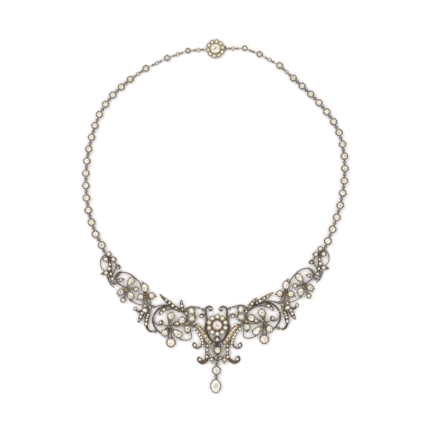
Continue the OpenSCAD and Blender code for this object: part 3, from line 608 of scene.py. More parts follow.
class MetalBench(Bench):
    """Puts together wires, collets, bosses, eyes and rings."""

    def pieces(self, pieces: Pieces, place: Matrix) -> None:
        """Adds the wires, the collets and the collars of the tiny stones.

        Args:
            pieces: The wires, collets and tiny stones.
            place: The place of the section that they belong to.
        """
        for wire in pieces.wires:
            self.cast(sweep(wire.section.outline, wire.stations()), place, wire.metal)
        for seat in pieces.seats:
            self.collet(seat, place)
        for stone in pieces.paves:
            self.pave(stone, place)

    def collet(self, seat: Seat, place: Matrix = HERE) -> None:
        """Adds a collet with its claws; a long metal point is black.

        Args:
            seat: The collet.
            place: The place of the section that it belongs to.
        """
        wall, rim = seat.wall / seat.small, seat.rim
        outer = 1.0 + wall
        shape = spun((
            (LIGHT, 0.06), (outer - 0.6 * wall, 0.0), (outer - 0.36 * wall, 0.14), (outer - 0.3 * wall, 0.8),
            (outer, 1.3), (outer, rim - 0.22), (outer - 0.2 * wall, rim - 0.04), (outer - 0.42 * wall, rim),
            (1.0 + 0.26 * wall, rim), (1.02, rim - 0.08), (1.0, seat.girdle - 0.02),
            (LIGHT, seat.ledge - 0.12),
        ), COLLET_STEPS)
        for vert in shape.verts:
            self._fit(vert, seat, wall)
        there = place @ seat.place
        faces = self.cast(shape, there, seat.metal)
        if seat.metal_tip:
            inward = there.inverted()
            for face in faces:
                spot = inward @ face.calc_center_median()
                if spot.x > max(seat.length, seat.stone_tip) + 0.25 and spot.z > 1.0:
                    face.material_index = BLACK.value
        self._claws(seat, there)

    def _fit(self, vert: BMVert, seat: Seat, wall: float) -> None:
        """Moves a corner of a round collet of radius 1 to the real outline.

        Args:
            vert: The corner.
            seat: The collet.
            wall: The wall, for a radius of 1.
        """
        radius = vert.co.xy.length
        wide = vert.co.xy / radius
        past = radius - 1.0
        across = (seat.length, seat.width)
        reach = [half + past * seat.small if past > 0 else half * radius for half in across]
        vert.co.x, vert.co.y = wide.x * reach[0], wide.y * reach[1]
        if not (seat.stone_tip or seat.metal_tip):
            return
        blend = max(0.0, min(1.0, past / wall * 1.6))
        near = (1 + wide.x) / 2
        stone_pull = (seat.stone_tip - seat.length) * radius if seat.stone_tip else 0.0
        metal_pull = seat.metal_tip - seat.length - seat.wall if seat.metal_tip else 0.0
        vert.co.x += (stone_pull * (1 - blend) + metal_pull * blend) * near**4
        sharp = 1.0 if seat.stone_tip else blend
        vert.co.y *= tapered(near, sharp)
        if not seat.stone_tip and vert.co.z > 1.2:
            vert.co.z -= 0.45 * sharp * near**6

    def _claws(self, seat: Seat, there: Matrix) -> None:
        """Adds the claws that hold a collet's stone.

        Args:
            seat: The collet.
            there: The place of the collet.
        """
        size = min(0.17, 0.1 + 0.05 * seat.small)
        wall, rim = seat.wall, seat.rim
        for turn in turns(next(count for least, count in CLAWS if seat.small > least), 0.5):
            reach = Vector((seat.length * math.cos(turn), seat.width * math.sin(turn)))
            if seat.stone_tip:
                near = (1 + math.cos(turn)) / 2
                reach.x += (seat.stone_tip - seat.length) * near**4
                reach.y *= tapered(near)
            edge = reach.length
            claw = leaning((
                (edge + wall - 0.03, rim - 0.95, size * 0.5), (edge + wall - 0.02, rim - 0.3, size),
                (edge + wall * 0.55, rim - 0.02, size), (edge + 0.04, rim - 0.02, size * 0.9),
                (edge - 0.16, max(rim - 0.2, seat.girdle + 0.14), size * 0.4),
            ))
            self.cast(claw, there @ turned(math.atan2(reach.y, reach.x)), seat.metal)

    def claws_round(
        self, spots: Sequence[Triple], angles: Iterable[float], place: Matrix, metal: Metal
    ) -> None:
        """Adds a claw through the same spots at each of several angles."""
        for angle in angles:
            self.cast(leaning(spots), place @ turned(angle), metal)

    def boss(self, boss: Boss, place: Matrix) -> None:
        """Adds a domed, fluted boss with a bead on it.

        Args:
            boss: The boss.
            place: The place of the section that it belongs to.
        """
        r, top, flute = boss.radius, WIRE_TOP, 0.07
        shape = spun((
            (0.0, FOOT), (0.85 * r, FOOT), (r, FOOT + 0.15), (r, top - 0.35), (0.86 * r, top),
            (0.6 * r, top + 0.16), (0.42 * r, top + 0.1), (0.3 * r, top + 0.2), (0.16 * r, top + 0.3),
            (0.0, top + 0.33),
        ), RING_STEPS)
        for vert in shape.verts:
            step = round(math.atan2(vert.co.y, vert.co.x) / (math.tau / RING_STEPS))
            if vert.co.xy.length > 0.5 * r and step % 2:
                vert.co.xy *= 1 - flute
        self.cast(shape, place @ shift(boss.x, boss.y), boss.metal)

    def pave(self, stone: Pave, place: Matrix) -> None:
        """Adds the collar and the four grains of a tiny stone.

        Args:
            stone: The tiny stone.
            place: The place of the section that it belongs to.
        """
        r, foot, top = stone.radius, 1.0, WIRE_TOP + 0.2 + stone.lift
        collar = ((r * 0.8, foot), (r + 0.16, foot), (r + 0.17, top - 0.1), (r + 0.08, top), (r, top - 0.04))
        there = place @ shift(stone.x, stone.y)
        self.cast(spun(collar, COLLAR_STEPS), there)
        for turn in turns(4, 0.5):
            grain = bmesh.new()
            bmesh.ops.create_icosphere(grain, subdivisions=1, radius=0.11)
            self.cast(grain, there @ (turned(turn) @ shift(r + 0.02, 0.0, top)))

    def bead(self, x: float, y: float, radius: float, place: Matrix, metal: Metal) -> None:
        """Adds a flattened bead of metal.

        Args:
            x: Across.
            y: Up.
            radius: Its radius.
            place: The place of the section that it belongs to.
            metal: Its metal.
        """
        drop = bmesh.new()
        bmesh.ops.create_icosphere(drop, subdivisions=2, radius=radius)
        self.cast(drop, place @ shift(x, y, WIRE_TOP + 0.1) @ Matrix.Diagonal((1, 1, 0.7, 1)), metal)

    def eye(self, place: Matrix, reach: float, metal: Metal = LINK) -> None:
        """Adds an upright eye and the bar that joins it to its piece.

        Args:
            place: The place of the eye, with its bar along x.
            reach: How far the bar reaches past the hole.
            metal: Its metal.
        """
        hole, edge, half = 0.25, 0.42, 0.17
        profile = ((hole, -half * 0.6), (hole + 0.05, -half), (edge - 0.04, -half * 0.8), (edge, 0.0),
                   (edge - 0.04, half * 0.8), (hole + 0.05, half), (hole, half * 0.6))
        self.cast(spun(profile, EYE_STEPS), place @ turned(math.pi / 2, "X"), metal)
        if reach > 0:
            start, bar = 0.33, 0.15
            self.cast(leaning((
                (start, 0.0, bar * 1.1), (start + 0.15, 0.0, bar), (hole + reach, 0.0, bar * 1.15),
                (hole + 0.05 + reach, 0.0, bar * 0.9),
            ), 8), place, metal)

    def flat_eye(self, x: float, y: float, heading: float, edge: float, post: float) -> None:
        """Adds a flat gold eye on a post to a collet.

        Args:
            x: Across, of the collet's middle.
            y: Up, of the collet's middle.
            heading: The way to the eye, in radians.
            edge: The collet's outer radius.
            post: The length of the post.
        """
        there = shift(x, y, LINK_Z) @ turned(heading)
        middle = edge + post + EYE_ARM
        profile = (
            (0.3, -0.1), (0.36, -0.16), (0.56, -0.13), (0.62, 0.0), (0.56, 0.13), (0.36, 0.16), (0.3, 0.1),
        )
        self.cast(spun(profile, FLAT_EYE_STEPS), there @ shift(middle, 0.0), GOLD)
        self.cast(leaning((
            (edge - 0.3, 0.0, 0.2), (edge + 0.05, 0.0, 0.17), (edge + post, 0.0, 0.15),
            (middle - 0.36, 0.0, 0.15),
        ), 8), there, GOLD)

    def flat_ring(self, x: float, y: float, radius: float, metal: Metal = LINK) -> None:
        """Adds a ring that lies flat."""
        self.cast(torus(radius, LINK_WIRE), shift(x, y, LINK_Z), metal)

    def upright_ring(self, x: float, y: float, heading: float, radius: float) -> None:
        """Adds an olive ring that stands upright along a heading."""
        there = shift(x, y, LINK_Z) @ (turned(heading) @ turned(math.pi / 2, "X"))
        self.cast(torus(radius, LINK_WIRE), there, OLIVE)


class Cut(Enum):
    """Cuts of a stone: sides of its table and of its girdle, half widths of its table and of its middle."""

    OLD = (8, 16, 0.56, 0.22)
    SMALL = (6, 12, 0.5, 0.2)


class StoneBench(Bench):
    """Cuts stones, each facet with its own share of light, less so much in the middle of a large stone."""

    smooth = False
    usual_light = 0.72
    middle_shade = 0.36

    def __init__(self, seed: int) -> None:
        """Starts with an empty mesh and its own order of chances.

        Args:
            seed: The seed of the order.
        """
        super().__init__()
        self.play = random.Random(seed)
        self.light = self.mesh.faces.layers.float.new("facet")

    @staticmethod
    def cut(style: Cut) -> BMesh:
        """Cuts a stone of unit half width.

        Args:
            style: The cut.

        Returns:
            The stone, with its girdle at height 0.
        """
        sides, around, table, heart = style.value
        shape = bmesh.new()
        half = math.pi / sides
        rings = (
            (sides, heart, CROWN + 0.018, 0.0), (sides, table, CROWN, half), (sides, 0.8, CROWN * 0.58, 0.0),
            (around, 1.0, 0.02, 0.0),
            (around, 1.0, -0.03, 0.0), (sides, 0.5, -PAVILION * 0.48, half), (sides, 0.07, -PAVILION, half),
        )
        for count, radius, height, turn in rings:
            place = shift(0.0, 0.0, height) @ turned(turn)
            bmesh.ops.create_circle(shape, segments=count, radius=radius, matrix=place)
        bmesh.ops.convex_hull(shape, input=shape.verts)
        bmesh.ops.dissolve_limit(shape, angle_limit=math.radians(1.5), verts=shape.verts, edges=shape.edges)
        return shape

    def pieces(self, pieces: Pieces, place: Matrix) -> None:
        """Sets the stones of a section.

        Args:
            pieces: The collets and tiny stones.
            place: The place of the section that they belong to.
        """
        for seat in pieces.seats:
            self.stone(seat, place)
        for stone in pieces.paves:
            self.tiny(stone, place)

    def stone(self, seat: Seat, place: Matrix = HERE, tone: float = 0.0) -> None:
        """Sets a stone in a collet.

        Args:
            seat: The collet.
            place: The place of the section that it belongs to.
            tone: How much lighter its facets are than usual.
        """
        shape = self.cut(Cut.OLD if seat.small > OLD_CUT else Cut.SMALL)
        tip = seat.stone_tip / seat.length if seat.stone_tip else 0.0
        for vert in shape.verts:
            vert.co = petal(vert.co, tip)
        spin = HERE if tip else turned(self.play.uniform(0, math.tau))
        size = Matrix.Diagonal((seat.length, seat.width, seat.small, 1.0))
        at = place @ seat.place @ shift(0.0, 0.0, seat.girdle)
        self._shine(self.cast(shape, at @ size @ spin), at.translation, seat.small, tone)

    def tiny(self, stone: Pave, place: Matrix) -> None:
        """Sets a tiny stone into a wire.

        Args:
            stone: The tiny stone.
            place: The place of the section that it belongs to.
        """
        at = shift(stone.x, stone.y, WIRE_TOP + 0.1 + stone.lift)
        turn = turned(self.play.uniform(0, math.tau))
        size = Matrix.Diagonal((stone.radius, stone.radius, stone.radius * 0.9, 1.0))
        faces = self.cast(self.cut(Cut.SMALL), place @ at @ size @ turn)
        self._shine(faces, (place @ at).translation, stone.radius, 0.0)

    def _shine(self, faces: list[BMFace], middle: Vector, small: float, tone: float) -> None:
        """Gives each facet its share of light, darker towards the middle of a large stone.

        Args:
            faces: The facets.
            middle: The middle of the stone.
            small: Its half width across its narrow way.
            tone: How much lighter its facets are than usual.
        """
        tone += self.play.uniform(-0.07, 0.07)
        depth = min(1.0, max(0.0, (small - 0.45) / 0.8))
        heart = self.play.uniform(-0.1, 0.45)
        for face in faces:
            away = (face.calc_center_median() - middle).xy.length / small
            mean = self.usual_light + tone
            if away < 0.5:
                mean -= self.middle_shade * depth
            if away < 0.1:
                mean += heart * depth
            face[self.light] = min(1.0, max(0.0, mean + self.play.gauss(0.0, 0.2 + 0.07 * depth)))


# Finishes

# In metres: metal is darker below the first height and brightest above the second, as patina and painted
# shade low down and rubbed wear with a painted highlight up high, and under the third it fades to gold
LIT_AND_RUBBED_FROM = 0.0006
LIT_AND_RUBBED_TO = 0.0021
GOLD_UNDER = 0.0008
GOLD_FADE = 0.00008
GOLD_BACK = (0.46, 0.35, 0.18)


class NodeDesk:
    """Adds the nodes of one tree and joins them."""

    def __init__(self, tree: NodeTree) -> None:
        """Takes the tree to work on."""
        self.tree = tree

    def feed(self, node: Node, inputs: dict[str | int, object]) -> None:
        """Sets sockets of a node.

        Args:
            node: The node.
            inputs: Values of its sockets by name or number, or the output sockets that feed them.
        """
        for name, value in inputs.items():
            if isinstance(value, NodeSocket):
                self.tree.links.new(value, node.inputs[name])
            else:
                node.inputs[name].default_value = value

    def add(self, kind: str, inputs: dict[str | int, object] | None = None, **settings: object) -> Node:
        """Adds a node.

        Args:
            kind: The node's type.
            inputs: Values of its sockets by name or number, or the output sockets that feed them.
            settings: Its other settings.

        Returns:
            The node.
        """
        node = self.tree.nodes.new(kind)
        for name, value in settings.items():
            setattr(node, name, value)
        self.feed(node, inputs or {})
        return node

    def times(self, a: NodeSocket, b: NodeSocket) -> NodeSocket:
        """Multiplies two values."""
        return self.add("ShaderNodeMath", {0: a, 1: b}, operation="MULTIPLY").outputs[0]

    def mapped(self, value: NodeSocket, given: Span, wanted: Span) -> NodeSocket:
        """Maps a value from the range that is given to the one that is wanted."""
        sockets = dict(zip(("Value", "From Min", "From Max", "To Min", "To Max"), (value, *given, *wanted)))
        return self.add("ShaderNodeMapRange", sockets).outputs["Result"]

    def noise(self, scale: float, detail: float) -> NodeSocket:
        """A cloudy value that stays with the piece."""
        where = self.add("ShaderNodeTexCoord").outputs["Object"]
        return self.add("ShaderNodeTexNoise", dict(Vector=where, Scale=scale, Detail=detail)).outputs["Fac"]

    def ramp(self, share: NodeSocket, *stops: tuple[float, Triple]) -> NodeSocket:
        """Adds a colour ramp.

        Args:
            share: The socket that feeds it.
            stops: The place and the colour of each stop.

        Returns:
            The colour.
        """
        node = self.add("ShaderNodeValToRGB", {"Fac": share})
        while len(node.color_ramp.elements) < len(stops):
            node.color_ramp.elements.new(1.0)
        for element, (place, colour) in zip(node.color_ramp.elements, stops):
            element.position = place
            element.color = (*colour, 1.0)
        return node.outputs["Color"]


def start_material(name: str) -> tuple[Material, NodeDesk, Node]:
    """Starts a material.

    Args:
        name: Its name.

    Returns:
        The material, the desk for its nodes, and its shader.
    """
    material = bpy.data.materials.new(name)
    material.use_nodes = True
    return material, NodeDesk(material.node_tree), material.node_tree.nodes["Principled BSDF"]


def wear_and_light_group() -> NodeTree:
    """Builds the aged look of metal with painted light: raised, upward-facing metal is bright as rubbed wear
    and a painted highlight, and sides and low parts are dark as patina and painted shade.

    Returns:
        The group, with a mask of rubbed wear and painted light, a height of fine marks and a mask of the gold
        back.
    """
    tree = bpy.data.node_groups.new("age on metal", "ShaderNodeTree")
    for name, way in (("Backing", "INPUT"), ("Rubbed", "OUTPUT"), ("Marks", "OUTPUT"), ("Back", "OUTPUT")):
        tree.interface.new_socket(name=name, in_out=way, socket_type="NodeSocketFloat")
    desk = NodeDesk(tree)
    given = desk.add("NodeGroupInput")
    where = desk.add("ShaderNodeTexCoord").outputs["Object"]
    height = desk.add("ShaderNodeSeparateXYZ", {"Vector": where}).outputs["Z"]
    normal = desk.add("ShaderNodeNewGeometry").outputs["Normal"]
    facing = desk.add("ShaderNodeSeparateXYZ", {"Vector": normal}).outputs["Z"]
    # Painted light: higher and upward-facing metal is made brighter, sides and low parts darker, standing in
    # for the lamps' highlight and the shade in recesses as well as rubbed wear and patina.
    raised = desk.mapped(height, (LIT_AND_RUBBED_FROM, LIT_AND_RUBBED_TO), (0.12, 1.0))
    upward = desk.mapped(facing, (0.4, 0.98), (0.25, 1.0))
    patches = desk.mapped(desk.noise(900.0, 3.0), (0.34, 0.62), (0.45, 1.0))
    backing = given.outputs["Backing"]
    under = desk.add("ShaderNodeMath", {0: backing, 1: height}, operation="SUBTRACT").outputs[0]
    desk.add("NodeGroupOutput", {
        "Rubbed": desk.times(desk.times(raised, upward), patches),
        "Marks": desk.noise(5000.0, 4.0),
        "Back": desk.times(desk.mapped(under, (0.0, GOLD_FADE), (0.0, 0.9)), patches),
    })
    return tree


@dataclass(frozen=True)
class MetalFinish:
    """An aged metal: its rubbed-and-lit colour (wear with a painted highlight) and its dark colour (patina
    with painted shade), the roughness of each, and the height of its gold back.
    """

    name: str
    rubbed: Triple
    dark: Triple
    smooth: float
    rough: float
    backing: float = GOLD_UNDER

    def make(self, age: NodeTree) -> Material:
        """Builds the material.

        Args:
            age: The group of wear and painted light on metal.

        Returns:
            The material.
        """
        material, desk, shader = start_material(self.name)
        worn = desk.add("ShaderNodeGroup", {"Backing": self.backing}, node_tree=age).outputs
        between = tuple(0.55 * d + 0.45 * r for d, r in zip(self.dark, self.rubbed))
        # Painted light: the ramp runs from the dark colour on sides and low parts, painted shade with patina,
        # to the bright colour on upward tops, a painted highlight with rubbed wear.
        front = desk.ramp(worn["Rubbed"], (0.05, self.dark), (0.45, between), (0.95, self.rubbed))
        whole = desk.add("ShaderNodeMix", {0: worn["Back"], 6: front, 7: (*GOLD_BACK, 1.0)}, data_type="RGBA")
        bump = desk.add("ShaderNodeBump", {"Height": worn["Marks"], "Strength": 0.25, "Distance": 0.00004})
        desk.feed(shader, {
            "Metallic": 0.92,
            "Base Color": whole.outputs[2],
            "Roughness": desk.mapped(worn["Rubbed"], (0.0, 1.0), (self.rough, self.smooth)),
            "Normal": bump.outputs["Normal"],
        })
        return material


@dataclass(frozen=True)
class StoneFinish:
    """A pale stone: the colours of its facets from dark to light."""

    name: str
    deep: Triple
    body: Triple
    flash: Triple

    def make(self) -> Material:
        """Builds the material.

        Returns:
            The material.
        """
        material, desk, shader = start_material(self.name)
        facet = desk.add("ShaderNodeAttribute", attribute_name="facet").outputs["Fac"]
        offset = desk.add("ShaderNodeMath", {0: facet, 1: -0.175}, operation="ADD").outputs[0]
        cloud = {0: desk.noise(1600.0, 2.0), 1: 0.35, 2: offset}
        mixed = desk.add("ShaderNodeMath", cloud, operation="MULTIPLY_ADD").outputs[0]
        desk.feed(shader, {
            "Roughness": 0.06,
            "IOR": 2.0,
            "Coat Weight": 0.6,
            "Coat Roughness": 0.02,
            "Base Color": desk.ramp(mixed, (0.12, self.deep), (0.42, self.body), (0.8, self.flash)),
        })
        return material


@dataclass(frozen=True)
class Finishes:
    """The finishes of the necklace: the metals in the order of their numbers, and the stones."""

    metals: list[Material]
    stone: Material
    pale: Material
    blush: Material

    @classmethod
    def make(cls) -> "Finishes":
        """Makes every finish, once.

        Returns:
            The finishes.
        """
        # Each metal's first colour is for raised, upward-facing metal: rubbed wear with a painted highlight;
        # its second is for sides and low parts: patina with painted shade.
        dark = MetalFinish("dark collet silver", (0.34, 0.285, 0.21), (0.033, 0.025, 0.017), 0.34, 0.6)
        metals = (
            MetalFinish("aged silver", (0.74, 0.63, 0.455), (0.07, 0.052, 0.034), 0.3, 0.55),
            MetalFinish("old gold", (0.76, 0.66, 0.43), (0.1, 0.08, 0.045), 0.28, 0.5),
            dark,
            MetalFinish("olive worn gold", (0.44, 0.36, 0.225), (0.06, 0.046, 0.026), 0.32, 0.55),
            # The darkest metal, for the wires and long points that are drawn darkest.
            MetalFinish("darkest metal", (0.19, 0.155, 0.105), (0.026, 0.02, 0.013), 0.4, 0.65),
            replace(dark, name="dark ring silver", rubbed=(0.29, 0.24, 0.17), backing=0.0),
        )
        stones = (
            StoneFinish("old-cut stone", (0.27, 0.25, 0.18), (0.65, 0.61, 0.47), (0.84, 0.81, 0.69)),
            StoneFinish("pale old-cut stone", (0.3, 0.3, 0.25), (0.58, 0.57, 0.49), (0.79, 0.78, 0.7)),
            StoneFinish("blush stone", (0.3, 0.22, 0.2), (0.62, 0.51, 0.48), (0.82, 0.745, 0.69)),
        )
        age = wear_and_light_group()
        return cls([metal.make(age) for metal in metals], *(stone.make() for stone in stones))


# The front


@dataclass
class Openwork:
    """A section of the front: what both sides share, and what differs from side to side.

    The eyes behind and ahead are on the couplings with those numbers. The bosses and beads are dark on
    the right side. The ring curl is its place and its outer and inner radius.
    """

    name: str
    node: str
    seed: int
    lay: Lay
    shared: Pieces
    bosses: tuple[Boss, ...]
    left_bloom: Metal = OLIVE
    own: dict[Side, Pieces] = field(default_factory=dict)
    beads: tuple[Triple, ...] = ()
    behind: tuple[int, ...] = ()
    ahead: tuple[int, ...] = ()
    curl: tuple[float, float, float, float] | None = None

    def build(self, side: Side, finishes: Finishes, *more_eyes: Eye) -> None:
        """Makes the metal and the stones of the section on one side.

        Args:
            side: The side.
            finishes: The finishes.
            more_eyes: Eyes beyond those of the couplings.
        """
        place = self.lay.matrix(side)
        both = (self.shared, self.own.get(side, Pieces()))
        bench = MetalBench()
        for pieces in both:
            bench.pieces(pieces, place)
        self._dress(bench, place, self.left_bloom if side is Side.LEFT else DARK)
        joints = COUPLINGS[side]
        eyes = [joints[k].eye(False) for k in self.behind] + [joints[k].eye(True) for k in self.ahead]
        for eye in (*eyes, *more_eyes):
            bench.eye(*eye)
        bench.finish(f"{self.name}_metal_{side.word}", f"{self.node}_{side.word}", "silver", *finishes.metals)
        stones = StoneBench(self.seed + side.value)
        for pieces in both:
            stones.pieces(pieces, place)
        stones.finish(
            f"{self.name}_cut_stones_{side.word}", f"{self.name}_stones_{side.word}", "stone", finishes.stone
        )

    def _dress(self, bench: MetalBench, place: Matrix, bloom: Metal) -> None:
        """Adds the bosses, the beads and the ring curl.

        Args:
            bench: The bench to work on.
            place: The place of the section.
            bloom: The metal of the bosses and the beads.
        """
        for boss in self.bosses:
            bench.boss(replace(boss, metal=bloom), place)
        for x, y, radius in self.beads:
            bench.bead(x, y, radius, place, bloom)
        if self.curl:
            x, y, outer, inner = self.curl
            ring = torus((outer + inner) / 2, 0.85 * (outer - inner) / 2)
            bench.cast(ring, place @ (shift(x, y, 1.0) @ Matrix.Diagonal((1, 1, 1.5, 1))), DARK)


CENTRE = Pieces(
    wires=(
        # inner curl
        Wire(0.6, 0.5, 0.5, ((5, -46.2), (5.1, -44.2), (5.9, -42.8), (7.2, -42.4), (7.95, -43.2),
            (7.5, -44.2))),
        # inner edge of the arm
        Wire(0.75, 0.65, 0.65, ((5.6, -48.8), (4.2, -51.5), (2.9, -53.6), (1.5, -55.1), (0, -56)),
            metal=BLACK, lift=0.1),
        # broad ridge of the arm
        Wire(1.4, 2.4, 1.6, ((9.8, -47.1), (8.3, -48.6), (6.6, -50.9), (5.3, -53), (4, -54.8), (2.3, -55.8)),
            RIDGE, OLIVE, 0.05),
        # bright crest of the ridge: a raised crest in bright gold whose colour paints the highlight along it
        Wire(0.4, 0.7, 0.45, ((9.4, -47.2), (8, -48.75), (6.4, -50.8), (5.1, -52.9), (4, -54.5)),
            RIDGE, GOLD, 0.24),
        # outer row of the arm
        Wire(1.1, 1.6, 0.8, ((10.2, -48.3), (8.9, -50), (7.7, -51.9), (6.9, -53.8), (6.5, -55.6),
            (6.4, -57.1)), GUTTER, SILVER),
        # curl at the end of the arm
        Wire(0.7, 0.65, 0.5, ((6.9, -53.8), (7, -55.9), (7.8, -57.4), (9.2, -57.9), (10.5, -57.4),
            (11, -56.2), (10.2, -55.1))),
        # stem
        Wire(1.6, 1.3, 1.3, ((4.4, -54.6), (4.6, -57), (4.7, -59), (4.75, -61.2)), GUTTER),
        # inner line, crossed over at the middle
        Wire(0.65, 0.6, 0.5, ((3.9, -55.6), (2.9, -57.6), (1.6, -59.8), (0, -61.6), (-0.9, -62.7),
            (-0.75, -63.6), (0.1, -64.1)), metal=SILVER, lift=0.1),
        # tie between the stem and the middle
        Wire(0.65, 0.6, 0.6, ((4.6, -61.3), (3.4, -61.7), (2, -62), (0.8, -62.2))),
        # hood over the small stone
        Wire(0.5, 0.5, 0.4, ((0, -52.55), (0.75, -52.75), (1.25, -53.4), (1.3, -54.3)), metal=BLACK),
        # bar over the middle collet, and its upper corner
        Wire(0.5, 0.5, 0.5, ((0, -56.7), (0.9, -56.6), (1.6, -56.3)), metal=BLACK),
        Wire(0.5, 0.5, 0.4, ((1.5, -56.2), (1.5, -57.1), (1.2, -57.9)), metal=BLACK),
    ),
    seats=(
        disc(10.1, -56.5, 0.65), disc(7.1, -43.5, 0.58), disc(4.55, -58.6, 0.63), disc(4.7, -61.7, 0.58),
    ),
    paves=(
        Pave(10.15, -49.05, 0.46), Pave(9, -50.35, 0.5), Pave(8, -51.65, 0.5), Pave(7.25, -52.95, 0.48),
        Pave(6.85, -54.25, 0.46), Pave(6.55, -55.5, 0.44), Pave(6.45, -56.65, 0.38),
        Pave(8.35, -47.3, 0.4, 0.35), Pave(5.35, -52.35, 0.48, 0.36), Pave(4.4, -53.9, 0.44, 0.34),
        Pave(4.5, -56.75, 0.42), Pave(4.65, -60.15, 0.36), Pave(3.35, -55.2, 0.34, 0.3),
    ),
)
CENTRE_OWN = {
    Side.RIGHT: Pieces(
        wires=(
            # side of the frame, from the top curl down to the arm
            Wire(0.55, 0.75, 0.9, ((2.5, -40.7), (1.7, -41.1), (1, -40.4), (1.3, -39.5), (2.5, -39.15),
                (3.8, -39.6), (4.3, -41), (4.3, -43), (4.5, -45), (5.1, -47), (5.6, -49)), metal=BLACK),
            # lower scroll
            Wire(1.3, 1.35, 0.6, ((4.75, -60.8), (5.2, -62.6), (6.6, -63.9), (8.2, -64.2), (9.6, -63.4),
                (9.8, -62), (8.8, -61.4)), metal=BLACK),
            # leaf that hangs beside it
            Wire(0.7, 1.1, 0.35, ((3.5, -60.6), (3.35, -61.9), (3.2, -63.4), (3.15, -65.2)), RIDGE, SILVER),
        ),
        paves=(Pave(1.25, -39.9, 0.3),),
    ),
    Side.LEFT: Pieces(
        wires=(
            Wire(0.55, 0.75, 0.9, ((3.9, -40.4), (3.1, -41), (2.3, -40.5), (2.5, -39.5), (3.6, -39.05),
                (4.8, -39.5), (5.2, -40.9), (5, -43), (4.8, -45), (5.1, -47), (5.6, -49)), metal=BLACK),
            Wire(1.3, 1.6, 0.6, ((4.75, -60.8), (4.8, -62.7), (5.7, -64), (7.2, -64.2), (8.3, -63.4),
                (8.5, -62.3), (7.6, -61.9)), metal=BLACK),
            Wire(0.7, 1.1, 0.35, ((3.4, -60.5), (2.9, -61.9), (2.5, -63.3), (2.2, -64.8)), RIDGE, SILVER),
        ),
        paves=(Pave(2.5, -39.95, 0.3),),
    ),
}
CENTRE_LINE_SEATS = (
    disc(0, -53.95, 0.74, wall=0.43),
    Seat(0.1, -58.75, -90, 1.3, 1.3, 0, 2.5),
    disc(-0.6, -62, 0.42), disc(1.35, -62.3, 0.42), disc(9, -62.7, 0.63), disc(-7.8, -62.9, 0.58),
    disc(3.25, -63, 0.63), disc(-2.6, -62.8, 0.63),
)
CENTRE_BOSSES = (
    Boss(0, -52.6, 0.5),
    Boss(0, -55.4, 0.5),
    Boss(0, -56.6, 0.6),
    Boss(0, -61.7, 0.5),
    Boss(0, -63.7, 0.5),
    Boss(9.6, -48, 1, OLIVE),
    Boss(-9.6, -48, 1, OLIVE),
)

